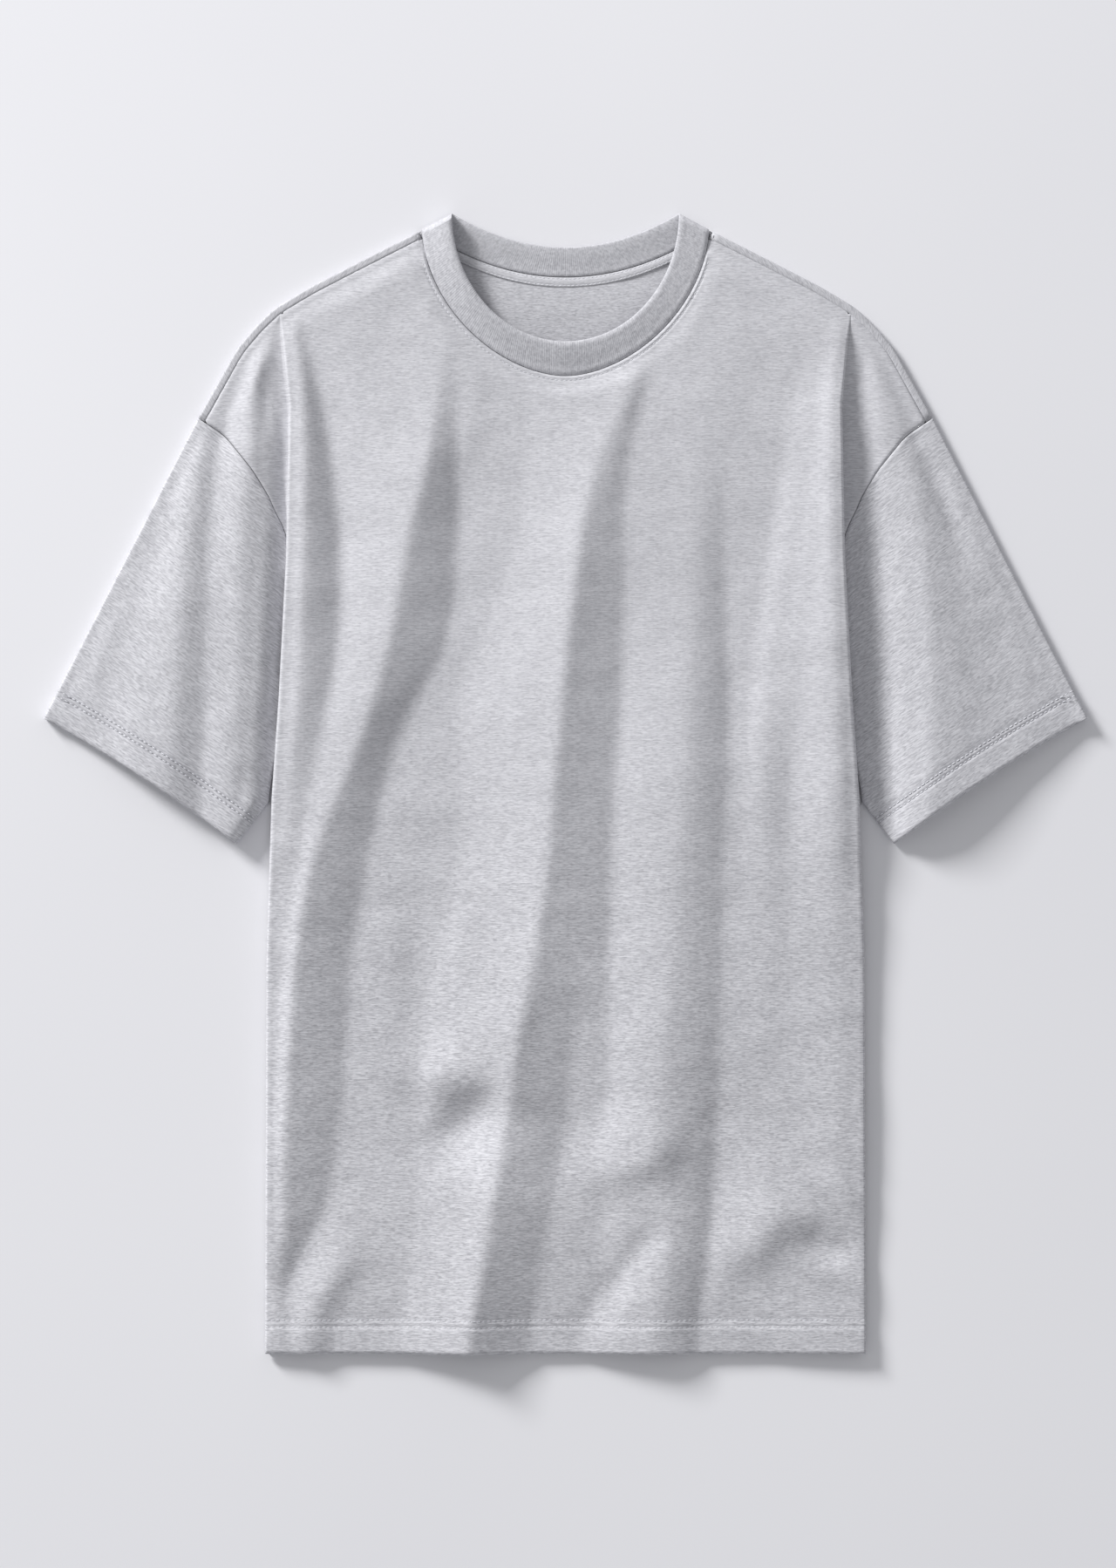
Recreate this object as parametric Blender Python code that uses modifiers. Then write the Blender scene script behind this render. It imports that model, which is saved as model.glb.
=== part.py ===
"""Crew neck t-shirt lying flat on a surface, built from its sewn pieces.

The back lies flat and the front lies over it in long soft pleats, with the sleeves
flattened beside the body. X runs across the shirt, +Y from the hem to the neck and
+Z up from the surface. Sizes are in millimetres and become metres in each mesh.
"""
import math

import bmesh
import bpy
import numpy as np

NAME = "crew_neck_t_shirt"
MM = 0.001

# Cloth walls and the gaps left at seams
WALL = 1.2
RIB_WALL = 2.0
TAPE_WALL = 1.0
SEAM_GAP = 0.3
ROUND_SEAM_GAP = 0.9

# Body
HEM_Y = -392.0
SHOULDER_CORNER = (197.0, 327.0)
SHOULDER_STEPS = 9
CORNER_STEP = 5
NECK_POINT = (98.7, 381.0)
SLEEVE_TIP = (252.6, 251.4)
FLAP_START_Y = 178.0
EDGE_ROLL = 8.0
CORNER_ROLL = 2.0
ROLL_END_Y = 275.0
EDGE_LIFT = 1.8
EDGE_OVER_SLEEVE = 3.4
SHOULDER_ROLL = 2.5
SHOULDER_WRAP = 5.0
SHOULDER_BLEND = 18.0

# Neck
NECKLINE_Y = 280.0
NECKLINE_POWER = 1.8
NECK_HEIGHT = 7.0
NECK_BLEND = 25.0
RIB_PEAK = (78.0, 392.1)
RIB_FRONT_Y = 303.8
RIB_BACK_TOP_Y = 369.0
RIB_BACK_SEAM_Y = 348.6
RIB_CROWN = 1.0
RIB_STEPS_FRONT = 26
RIB_STEPS_BACK = 16
RIB_STEPS_ACROSS = 4
RIB_LENGTH_FRONT = 330.0
RIB_LENGTH_BACK = 210.0
RIB_FOLD_SHARES = (0.0, 0.006, 0.02, 0.045)
RIB_FIRST_SHARE = 0.08
RIB_FOLD_POINTS = 2 * len(RIB_FOLD_SHARES) - 1
TAPE_WIDTH = 6.5
TAPE_HALF_SPAN = 84.0

# Sleeves
UNDERARM = (204.0, -13.0)
CUFF_OUTER = (358.8, 45.0)
CUFF_INNER = (225.9, -41.4)
CUFF_HOLLOW = 3.0
SLEEVE_ROLL = 2.5
SLEEVE_BLEND = 14.0

# Angles at which each rolled edge is cut into facets
SIDE_ROLL_DEGREES = (60, 30, 0)
WRAP_DEGREES = (-45, 0, 45, 90)
SLEEVE_ROLL_DEGREES = (0, 45)

# Grid sizes, and the points read along a seam
BODY_ROWS = 36
BODY_COLUMNS = 26
FLAP_COLUMNS = 3
BACK_ROWS = 9
BACK_STEP_BELOW_ARM = 10.0
BACK_NECK_COLUMNS = 8
SLEEVE_ROWS = 9
SLEEVE_COLUMNS = 11
SEAM_POINTS = 41
FINE_POINTS = 200
MERGE_DISTANCE = 0.05

# Side fold of the laid body: distance up the shirt, half width
SIDE_FOLD = ((-392, 206.5), (-120, 205.5), (-12, 202), (60, 197), (155, 192), (260, 190), (327, 197))

# Shoulder edge from the neck to the armhole seam: x, y
SHOULDER_EDGE = ((101.5, 379.5), (141, 359.5), (175, 342), (200, 327), (213, 314.5), (226, 299), SLEEVE_TIP)

# Armhole seam from the shoulder edge down to the underarm: x, y
ARMHOLE = (SLEEVE_TIP, (234, 239), (214.5, 215), (203, 196), (196.5, 178), (195, 150), (199.5, 60),
           UNDERARM)

# Back neck seam of the rib from the neck point to the middle: x, y
BACK_NECK = (NECK_POINT, (85, 372), (69.5, 364), (50, 357), (32, 352.5), (0, RIB_BACK_SEAM_Y))

# A point amid the chest, from which every seam faces outwards
CHEST_CENTRE = (0.0, 150.0)

# Fold lines of the top layer, from the left sleeve to the right one. Each row of a line
# is: distance up the shirt, x, height of the cloth's outer face above the surface.
FOLD_LINES = {
    "left_sleeve_trough": ((240, -258, 5.5), (180, -278, 6), (120, -298, 6.5), (60, -322, 7.5), (0, -335, 9),
                           (-40, -340, 10)),
    "left_sleeve_crest": ((300, -240, 6), (240, -250, 7), (180, -258, 11.5), (120, -265, 15), (60, -268, 16),
                          (-40, -279, 16)),
    "left_sleeve_crease": ((300, -222, 5), (240, -238, 5), (180, -243, 8), (120, -246, 10.5), (60, -248, 11),
                           (-40, -252, 10.5)),
    "left_armhole_ridge": ((300, -210, 9), (240, -214, 11), (180, -222, 12), (60, -228, 13), (-40, -231, 12)),
    "left_gully": ((320, -199, 4.5), (240, -194, 3.6), (180, -194, 3.5), (60, -199.5, 3.5), (-13, -204, 3.4)),
    "left_edge_ridge": ((320, -190, 8), (280, -182, 12), (240, -181, 14.5), (180, -181, 16),
                        (120, -182, 16.5), (60, -183, 15.5), (0, -190, 14.5), (-60, -193, 13), (-180, -197.5, 11.5),
                        (-300, -199, 9), (-392, -200, 8)),
    "left_edge_trough": ((320, -184, 6.5), (258, -167, 5.8), (198, -157, 5.2), (120, -154, 7), (60, -162, 10),
                         (0, -174, 13), (-60, -184, 13), (-120, -190, 13), (-240, -196, 12), (-392, -197, 8)),
    "left_pleat_crest": ((320, -84, 8.5), (240, -91, 16), (180, -106, 18), (120, -116, 17.5), (60, -131, 16),
                         (0, -150, 16), (-60, -177, 16), (-120, -188, 15.5), (-180, -193, 16),
                         (-240, -195, 14.5), (-300, -196, 12), (-392, -194, 7)),
    "left_pleat_crease": ((320, -74, 9), (240, -75, 9.5), (180, -74, 6.5), (120, -76, 5), (60, -104, 6),
                          (0, -126, 5.8), (-60, -138, 5), (-120, -148, 5), (-220, -153, 5.5),
                          (-300, -166, 5.5), (-340, -188, 6), (-392, -190, 6.5)),
    "middle_pleat_foot": ((320, -30, 9), (180, -29, 9), (120, -50, 5.5), (0, -71, 5), (-120, -89, 5.5),
                          (-240, -107, 6), (-392, -112, 6.5)),
    "middle_pleat_crest": ((320, 44, 8.5), (275, 38, 10.5), (240, 27, 15), (180, 12, 20.5), (60, -3, 20.5),
                           (-60, -13, 20.5), (-180, -35, 21.5), (-300, -52, 21.5), (-392, -68, 20)),
    "middle_pleat_crease": ((320, 62, 8), (240, 45, 11.5), (120, 40, 10), (0, 33, 9.5), (-120, 25, 9.5),
                            (-240, 0, 6.5), (-300, -11, 9), (-392, -24, 6)),
    "right_pleat_crest": ((320, 90, 8.5), (180, 86, 12.8), (60, 84, 13), (0, 81, 16), (-120, 73, 16),
                          (-180, 69, 17), (-240, 62, 15.5), (-300, 74, 15), (-392, 57, 14)),
    "right_pleat_crease": ((320, 112, 8.5), (180, 108, 9.5), (60, 113, 7.5), (0, 111, 10), (-120, 107, 10),
                           (-240, 104, 6), (-392, 90, 6)),
    "right_pleat_apron": ((320, 150, 9), (180, 142, 10), (60, 139, 12), (0, 136, 12.5), (-120, 139, 9.8),
                          (-240, 133, 6.5), (-300, 139, 11), (-392, 133, 6)),
    "right_edge_ridge": ((320, 190, 8), (280, 184, 13.5), (240, 184, 18), (180, 185, 20.5), (120, 186, 21.5),
                         (20, 188, 21), (0, 189, 20.5), (-30, 189, 18), (-60, 188, 14.5), (-120, 188, 11.5),
                         (-240, 190, 10), (-392, 196, 8)),
    "right_gully": ((320, 199, 4.5), (240, 194, 3.6), (180, 194, 3.5), (60, 199.5, 3.5), (-13, 204, 3.4)),
    "right_sleeve_foot": ((300, 206, 5.8), (240, 208, 5.2), (180, 213, 5.5), (60, 217, 5.8), (-40, 225, 5.5)),
    "right_sleeve_crest": ((300, 216, 7), (240, 230, 8), (180, 240, 12), (120, 250, 16), (60, 252, 17),
                           (-40, 250, 18)),
    "right_sleeve_crease": ((300, 220, 6), (240, 242, 5.5), (180, 264, 7.5), (120, 277, 10.5),
                            (60, 280, 12.5), (0, 283, 16), (-40, 284, 16.5)),
    "right_sleeve_rise": ((300, 228, 5.5), (240, 252, 5.5), (180, 278, 6.5), (120, 298, 8), (60, 308, 9.5),
                          (0, 318, 12.5), (-40, 312, 14.5)),
}

# Material of each piece: red, green, blue, roughness
COLOURS = {
    "front_panel": (0.60, 0.60, 0.63, 0.92),
    "back_panel": (0.55, 0.55, 0.58, 0.92),
    "sleeve_left": (0.60, 0.60, 0.63, 0.92),
    "sleeve_right": (0.58, 0.58, 0.61, 0.92),
    "neck_rib": (0.52, 0.52, 0.55, 0.95),
    "neck_tape": (0.62, 0.62, 0.65, 0.90),
}


def table(rows, column, at):
    """Read one column of a table whose first column falls or rises, at the given values."""
    rows = sorted(rows)
    return np.interp(at, [row[0] for row in rows], [row[column] for row in rows])


def along(path, share):
    """Points at the given shares (0 to 1) of a polyline's length."""
    path = np.asarray(path, float)
    return np.stack([np.interp(share, shares_of(path), path[:, axis]) for axis in range(2)], axis=-1)


def shares_of(path):
    """Share of a polyline's length at each of its points."""
    length = np.concatenate(([0.0], np.cumsum(np.linalg.norm(np.diff(path, axis=0), axis=1))))
    return length / length[-1]


def smooth(value):
    """Ease from 0 to 1."""
    value = np.clip(value, 0.0, 1.0)
    return value * value * (3.0 - 2.0 * value)


def distance_to(points, path):
    """Distance from each point to a path, read at fine steps along it."""
    fine = along(path, np.linspace(0.0, 1.0, FINE_POINTS))
    return np.linalg.norm(points[..., None, :] - fine, axis=-1).min(axis=-1)


def mirrored(path):
    """The same path on the left of the shirt."""
    return [(-x, y) for x, y in path]


def edge_normals(path):
    """Unit normals of a path that point away from the middle of the shirt."""
    tangent = np.gradient(path, axis=0)
    normal = np.stack([tangent[:, 1], -tangent[:, 0]], axis=-1)
    normal /= np.linalg.norm(normal, axis=1, keepdims=True)
    outward = np.sign(np.sum(normal * (path - np.array(CHEST_CENTRE)), axis=1, keepdims=True))
    return normal * outward


def fold_height(points):
    """Height of the top layer's outer face, eased from fold line to fold line."""
    flat = points.reshape(-1, 2)
    height = np.empty(len(flat))
    for index, (x, y) in enumerate(flat):
        line_x = np.array([table(rows, 1, y) for rows in FOLD_LINES.values()])
        line_z = np.array([table(rows, 2, y) for rows in FOLD_LINES.values()])
        right = int(np.clip(np.searchsorted(line_x, x), 1, len(line_x) - 1))
        share = (x - line_x[right - 1]) / max(line_x[right] - line_x[right - 1], 0.1)
        height[index] = line_z[right - 1] + (line_z[right] - line_z[right - 1]) * smooth(share)
    return height.reshape(points.shape[:-1])


def neckline(share):
    """Front neck seam from the left neck point (0) round to the right one (1)."""
    angle = math.pi * (1.0 - np.asarray(share, float))
    exponent = 2.0 / NECKLINE_POWER
    x = NECK_POINT[0] * np.sign(np.cos(angle)) * np.abs(np.cos(angle)) ** exponent
    y = NECK_POINT[1] - (NECK_POINT[1] - NECKLINE_Y) * np.abs(np.sin(angle)) ** exponent
    return np.stack([x, y], axis=-1)


def rib_front_edge(share):
    """Free edge of the rib at the front, from the left peak (0) to the right one (1)."""
    angle = math.pi * (1.0 - np.asarray(share, float))
    x = RIB_PEAK[0] * np.cos(angle)
    y = RIB_PEAK[1] - (RIB_PEAK[1] - RIB_FRONT_Y) * np.sin(angle)
    return np.stack([x, y], axis=-1)


def rib_back_edge(share):
    """Free edge of the rib at the back, from the right peak (0) to the left one (1)."""
    x = RIB_PEAK[0] * (1.0 - 2.0 * np.asarray(share, float))
    y = RIB_BACK_TOP_Y + (RIB_PEAK[1] - RIB_BACK_TOP_Y) * (x / RIB_PEAK[0]) ** 2
    return np.stack([x, y], axis=-1)


def back_neck_seam(share):
    """Back neck seam from the right neck point (0) to the left one (1)."""
    return along(list(BACK_NECK) + mirrored(BACK_NECK)[-2::-1], share)


def patch(bottom, top, left, right, shares=None):
    """Fill a four-sided outline with a grid: rows run from the bottom to the top."""
    u = np.linspace(0.0, 1.0, len(bottom))[None, :, None]
    v = (np.linspace(0.0, 1.0, len(left)) if shares is None else shares)[:, None, None]
    grid = (1 - v) * bottom[None] + v * top[None] + (1 - u) * left[:, None] + u * right[:, None]
    low = (1 - u) * bottom[0] + u * bottom[-1]
    high = (1 - u) * top[0] + u * top[-1]
    return grid - (1 - v) * low - v * high


def roll_width(height):
    """Width of the rolled side fold, which narrows to the shoulder corner."""
    ease = smooth((height - ROLL_END_Y) / (SHOULDER_CORNER[1] - ROLL_END_Y))
    return EDGE_ROLL + (CORNER_ROLL - EDGE_ROLL) * ease


def body_grid(rows, columns, shoulder):
    """Planform of the front between its side folds, up to the shoulders and the neckline."""
    shoulder = np.array(shoulder)
    shoulder[-1] -= (CORNER_ROLL, 0.0)
    height = np.linspace(HEM_Y, shoulder[-1][1], rows + 1)
    half = table(SIDE_FOLD, 1, height) - roll_width(height)
    half += (shoulder[-1][0] - half[-1]) * smooth((height - ROLL_END_Y) / (height[-1] - ROLL_END_Y))
    left, right = np.stack([-half, height], axis=-1), np.stack([half, height], axis=-1)
    across = np.linspace(0.0, 1.0, columns + 1)
    neck_share = NECK_POINT[0] / SHOULDER_CORNER[0] / 2.0
    first, last = 0.5 - neck_share, 0.5 + neck_share
    top = np.empty((columns + 1, 2))
    for index, share in enumerate(across):
        if share < first:
            top[index] = along(mirrored(shoulder)[::-1], share / first)
        elif share > last:
            top[index] = along(shoulder, (share - last) / (1.0 - last))
        else:
            top[index] = neckline((share - first) / (last - first))
    bottom = np.stack([half[0] * (2 * across - 1), np.full(columns + 1, HEM_Y)], axis=-1)
    return patch(bottom, top, left, right)


def shoulder_seam(gap):
    """Right shoulder edge in a few straight stretches from neck to armhole, moved in by a gap."""
    path = along(SHOULDER_EDGE, np.linspace(0.0, 1.0, SHOULDER_STEPS + 1))
    return path - gap * edge_normals(path)


def new_piece(name, vertices, faces, wall):
    """Make a cloth piece from its outer face, with its wall turned inwards."""
    mesh = bpy.data.meshes.new(name)
    mesh.from_pydata([tuple(c * MM for c in vertex) for vertex in vertices], [], faces)
    bm = bmesh.new()
    bm.from_mesh(mesh)
    bmesh.ops.remove_doubles(bm, verts=bm.verts, dist=MERGE_DISTANCE * MM)
    bm.to_mesh(mesh)
    bm.free()
    mesh.shade_smooth()
    piece = bpy.data.objects.new(name, mesh)
    bpy.data.collections[NAME].objects.link(piece)
    solid = piece.modifiers.new("wall", "SOLIDIFY")
    solid.thickness = wall * MM
    solid.offset = -1.0
    solid.use_even_offset = True
    piece.data.materials.append(cloth_material(name))
    return piece


def cloth_material(name):
    """Plain cloth finish of one piece."""
    red, green, blue, roughness = COLOURS[name]
    material = bpy.data.materials.new(name)
    material.use_nodes = True
    shader = material.node_tree.nodes["Principled BSDF"]
    shader.inputs["Base Color"].default_value = (red, green, blue, 1.0)
    shader.inputs["Roughness"].default_value = roughness
    shader.inputs["Metallic"].default_value = 0.0
    return material


def grid_faces(index, closed=False, flip=False):
    """Quads of a grid of vertex numbers, closed round its columns if asked."""
    faces = []
    rows, columns = index.shape
    for row in range(rows - 1):
        for column in range(columns if closed else columns - 1):
            after = (column + 1) % columns
            face = (index[row, column], index[row, after], index[row + 1, after], index[row + 1, column])
            faces.append(tuple(int(i) for i in (face[::-1] if flip else face)))
    return faces


def roll_columns(inner, sign, height, base):
    """Columns of the rolled side fold, from its inner line down to its foot."""
    columns = []
    for degrees in SIDE_ROLL_DEGREES:
        turn = math.radians(degrees)
        x = inner[:, 0] + sign * roll_width(inner[:, 1]) * math.cos(turn)
        z = base + (height - base) * math.sin(turn)
        columns.append(np.stack([x, inner[:, 1], z], axis=-1))
    return columns


def front_panel():
    """Front body: pleated middle, rolled side folds and the flaps up to the armholes."""
    seam = shoulder_seam(SHOULDER_WRAP + SEAM_GAP)
    shoulder = seam[:CORNER_STEP + 1]
    planform = body_grid(BODY_ROWS, BODY_COLUMNS, shoulder)
    height = fold_height(planform)
    seams = (
        (neckline(np.linspace(0, 1, SEAM_POINTS)), NECK_HEIGHT, NECK_BLEND),
        (shoulder, 2 * SHOULDER_ROLL, SHOULDER_BLEND),
        (mirrored(shoulder), 2 * SHOULDER_ROLL, SHOULDER_BLEND),
    )
    for path, level, reach in seams:
        share = smooth(distance_to(planform, path) / reach)
        height = level + (height - level) * share
    middle = np.concatenate([planform, height[..., None]], axis=-1)
    up = planform[:, 0, 1]
    foot = np.where(up > UNDERARM[1], EDGE_OVER_SLEEVE, EDGE_LIFT)
    left = roll_columns(middle[:, 0, :2], -1, middle[:, 0, 2], foot)[::-1]
    right = roll_columns(middle[:, -1, :2], 1, middle[:, -1, 2], foot)
    sheet = np.concatenate([np.stack(left, axis=1), middle, np.stack(right, axis=1)], axis=1)
    index = np.arange(sheet.shape[0] * sheet.shape[1]).reshape(sheet.shape[:2])
    vertices = [tuple(point) for point in sheet.reshape(-1, 3)]
    faces = grid_faces(index)
    for sign, column in ((-1, 0), (1, sheet.shape[1] - 1)):
        add_flap(vertices, faces, sheet[:, column], index[:, column], seam[CORNER_STEP:], sign)
    return new_piece("front_panel", vertices, faces, WALL)


def add_flap(vertices, faces, foot, foot_index, over, sign):
    """Join the flap between a side fold's foot and the armhole seam and shoulder."""
    rows = [row for row in range(len(foot)) if foot[row][1] >= FLAP_START_Y]
    seam = [point for point in ARMHOLE[1:] if point[1] > FLAP_START_Y][::-1]
    outer = seam + list(along(over[::-1], np.linspace(0, 1, len(rows) - 1 - len(seam)))[:-1])
    strips = []
    for number, row in enumerate(rows):
        strip = [int(foot_index[row])]
        if 0 < number < len(rows) - 1:
            end = np.array(outer[number - 1]) * (sign, 1)
            for step in range(1, FLAP_COLUMNS + 1):
                point = foot[row][:2] + (end - foot[row][:2]) * step / FLAP_COLUMNS
                level = float(fold_height(point[None])[0])
                near = distance_to(point[None] * (sign, 1), over)[0]
                ease = float(smooth(near / SHOULDER_BLEND))
                level = 2 * SHOULDER_ROLL + (level - 2 * SHOULDER_ROLL) * ease
                strip.append(len(vertices))
                vertices.append((point[0], point[1], level))
        strips.append(strip)
    for low, high in zip(strips, strips[1:]):
        for step in range(FLAP_COLUMNS):
            face = [low[min(step, len(low) - 1)], high[min(step, len(high) - 1)],
                    high[min(step + 1, len(high) - 1)], low[min(step + 1, len(low) - 1)]]
            face = list(dict.fromkeys(face))
            if len(face) > 2:
                faces.append(tuple(face[::-1] if sign > 0 else face))


def back_panel():
    """Back body: flat on the surface, rolled up over the shoulders to meet the front."""
    shoulder = shoulder_seam(0.0)[::-1] * (-1, 1)
    shoulder_in = shoulder_seam(SHOULDER_ROLL)[::-1] * (-1, 1)
    seam = back_neck_seam(np.linspace(1, 0, BACK_NECK_COLUMNS + 1)) - (0.0, SEAM_GAP)
    top = np.concatenate([shoulder_in[:-1], seam, shoulder_in[-2::-1] * (-1, 1)])
    armhole = [(y, x) for x, y in ARMHOLE[1:]]
    low = np.linspace(HEM_Y, UNDERARM[1] - BACK_STEP_BELOW_ARM, BACK_ROWS)
    height = np.concatenate([low, [y for y, x in armhole[::-1]], [top[0][1]]])
    width = table([row for row in SIDE_FOLD if row[0] < UNDERARM[1]] + armhole, 1, height)
    width[-1] = top[-1][0]
    left, right = np.stack([-width, height], axis=-1), np.stack([width, height], axis=-1)
    across = np.linspace(-1, 1, len(top))
    bottom = np.stack([across * width[0], np.full(len(top), HEM_Y)], axis=-1)
    planform = patch(bottom, top, left, right, (height - height[0]) / (height[-1] - height[0]))
    index = np.arange(planform.shape[0] * planform.shape[1]).reshape(planform.shape[:2])
    vertices = [(x, y, 0.0) for x, y in planform.reshape(-1, 2)]
    faces = grid_faces(index, flip=True)
    add_wrap(vertices, faces, shoulder, index[-1, :SHOULDER_STEPS + 1])
    add_wrap(vertices, faces, shoulder[::-1] * (-1, 1), index[-1, -SHOULDER_STEPS - 1:])
    return new_piece("back_panel", vertices, faces, WALL)


def add_wrap(vertices, faces, edge, foot_index):
    """Roll the back panel's shoulder edge up and inwards to the shoulder seam."""
    normal = edge_normals(edge)
    rows = [[int(i) for i in foot_index]]
    profile = [(SHOULDER_ROLL * math.cos(math.radians(a)), SHOULDER_ROLL * (1 + math.sin(math.radians(a))))
               for a in WRAP_DEGREES] + [(SHOULDER_ROLL - SHOULDER_WRAP, 2 * SHOULDER_ROLL)]
    for out, level in profile:
        ring = edge + (out - SHOULDER_ROLL) * normal
        rows.append(list(range(len(vertices), len(vertices) + len(ring))))
        vertices.extend((x, y, level) for x, y in ring)
    faces.extend(grid_faces(np.array(rows), flip=True))


def sleeve(name, sign):
    """Short sleeve: a flattened tube from the armhole seam to the open cuff."""
    seam_shares = shares_of(ARMHOLE)
    across = np.linspace(0, 1, SEAM_POINTS)
    armhole = along(ARMHOLE, across)
    armhole = armhole + ROUND_SEAM_GAP * edge_normals(armhole)
    cuff_line = along((CUFF_OUTER, CUFF_INNER), across)
    reach = np.array(CUFF_INNER) - np.array(CUFF_OUTER)
    inward = np.array((reach[1], -reach[0])) / np.linalg.norm(reach)
    cuff_line = cuff_line + CUFF_HOLLOW * np.sin(math.pi * across)[:, None] * inward
    rows = np.linspace(0, 1, SLEEVE_ROWS + 1)
    outer, inner = along((armhole[0], CUFF_OUTER), rows), along((armhole[-1], CUFF_INNER), rows)
    planform = patch(armhole, cuff_line, outer, inner)
    rolled = [(SLEEVE_ROLL * (1 - math.cos(math.radians(a))), SLEEVE_ROLL * (1 + math.sin(math.radians(a))))
              for a in SLEEVE_ROLL_DEGREES]
    vertices = []
    for line in planform:
        length = np.linalg.norm(np.diff(line, axis=0), axis=1).sum()
        upper = np.linspace(SLEEVE_ROLL, length - SLEEVE_ROLL, SLEEVE_COLUMNS + 1)
        lower = np.clip(seam_shares[::-1] * length, SLEEVE_ROLL, length - SLEEVE_ROLL)
        places = [(d, z) for d, z in rolled] + [(d, None) for d in upper]
        places += [(length - d, z) for d, z in rolled[::-1]]
        places += [(length - rolled[1][0], 2 * SLEEVE_ROLL - rolled[1][1])]
        places += [(d, 0.0) for d in lower] + [(rolled[1][0], 2 * SLEEVE_ROLL - rolled[1][1])]
        for place, level in places:
            x, y = along(line, place / length)
            if level is None:
                edge = min(place, length - place) - SLEEVE_ROLL
                level = float(fold_height(np.array([[sign * x, y]]))[0])
                level = 2 * SLEEVE_ROLL + (level - 2 * SLEEVE_ROLL) * float(smooth(edge / SLEEVE_BLEND))
            vertices.append((sign * x, y, level))
    around = len(vertices) // (SLEEVE_ROWS + 1)
    index = np.arange(len(vertices)).reshape(SLEEVE_ROWS + 1, around)
    return new_piece(name, vertices, grid_faces(index, closed=True, flip=sign < 0), WALL)


def rib_shares(steps):
    """Shares along half the neck band, set close together where it folds over at its ends."""
    near = np.array(RIB_FOLD_SHARES)
    inner = np.linspace(RIB_FIRST_SHARE, 1 - RIB_FIRST_SHARE, steps - RIB_FOLD_POINTS)
    return np.concatenate([near, inner, 1 - near[:0:-1]])


def neck_rib():
    """Neck band: one doubled ring, its front half over the neckline, its back half flat."""
    front, back = rib_shares(RIB_STEPS_FRONT), rib_shares(RIB_STEPS_BACK)
    seam = np.concatenate([neckline(front), back_neck_seam(back)])
    edge = np.concatenate([rib_front_edge(front), rib_back_edge(back)])
    fold = NECK_HEIGHT / 2
    level = []
    for shares, lift, length in ((front, 1, RIB_LENGTH_FRONT), (back, -1, RIB_LENGTH_BACK)):
        run = np.minimum(shares, 1 - shares) * length / fold
        level.append(fold + lift * fold * np.sin(np.minimum(run, 1.0) * math.pi / 2))
    level = np.concatenate(level)
    inward = (edge - seam) / np.linalg.norm(edge - seam, axis=1, keepdims=True)
    seam = seam + ROUND_SEAM_GAP * inward
    shares = np.linspace(0, 1, RIB_STEPS_ACROSS + 1)
    vertices = []
    for start, end, height in zip(seam, edge, level):
        for share in shares:
            x, y = start + (end - start) * share
            crown = RIB_CROWN * math.sin(math.pi * share) * max(0.0, height / fold - 1)
            vertices.append((x, y, height + crown))
    index = np.arange(len(vertices)).reshape(len(seam), len(shares)).T
    return new_piece("neck_rib", vertices, grid_faces(index, closed=True), RIB_WALL)


def neck_tape():
    """Narrow tape over the back neck seam, on the inner face of the back panel."""
    line = back_neck_seam(np.linspace(0, 1, SEAM_POINTS))
    line = line[np.abs(line[:, 0]) <= TAPE_HALF_SPAN]
    upper = line - (0.0, 2 * SEAM_GAP)
    lower = line - (0.0, 2 * SEAM_GAP + TAPE_WIDTH)
    level = WALL + SEAM_GAP + TAPE_WALL
    vertices = [(x, y, level) for x, y in np.concatenate([upper, lower])]
    index = np.arange(len(vertices)).reshape(2, len(line))
    return new_piece("neck_tape", vertices, grid_faces(index), TAPE_WALL)


def clear_scene():
    """Remove the scene's objects and make the part's collection."""
    for item in list(bpy.data.objects):
        bpy.data.objects.remove(item, do_unlink=True)
    bpy.context.scene.collection.children.link(bpy.data.collections.new(NAME))


def main():
    """Build every piece of the shirt."""
    clear_scene()
    back_panel()
    front_panel()
    sleeve("sleeve_left", -1)
    sleeve("sleeve_right", 1)
    neck_rib()
    neck_tape()


main()
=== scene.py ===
"""Looks of a crew neck t-shirt that lies flat: its folds, seams, stitches, ribs and heather jersey.

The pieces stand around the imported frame, whose boxes give the hem, the cuffs, the neck and
the levels. Sizes here are in millimetres and become metres in each mesh. X runs across the
shirt, +Y from the hem to the neck and +Z up from the surface.
"""

import logging
import math
from dataclasses import dataclass, field
from enum import Enum

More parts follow.
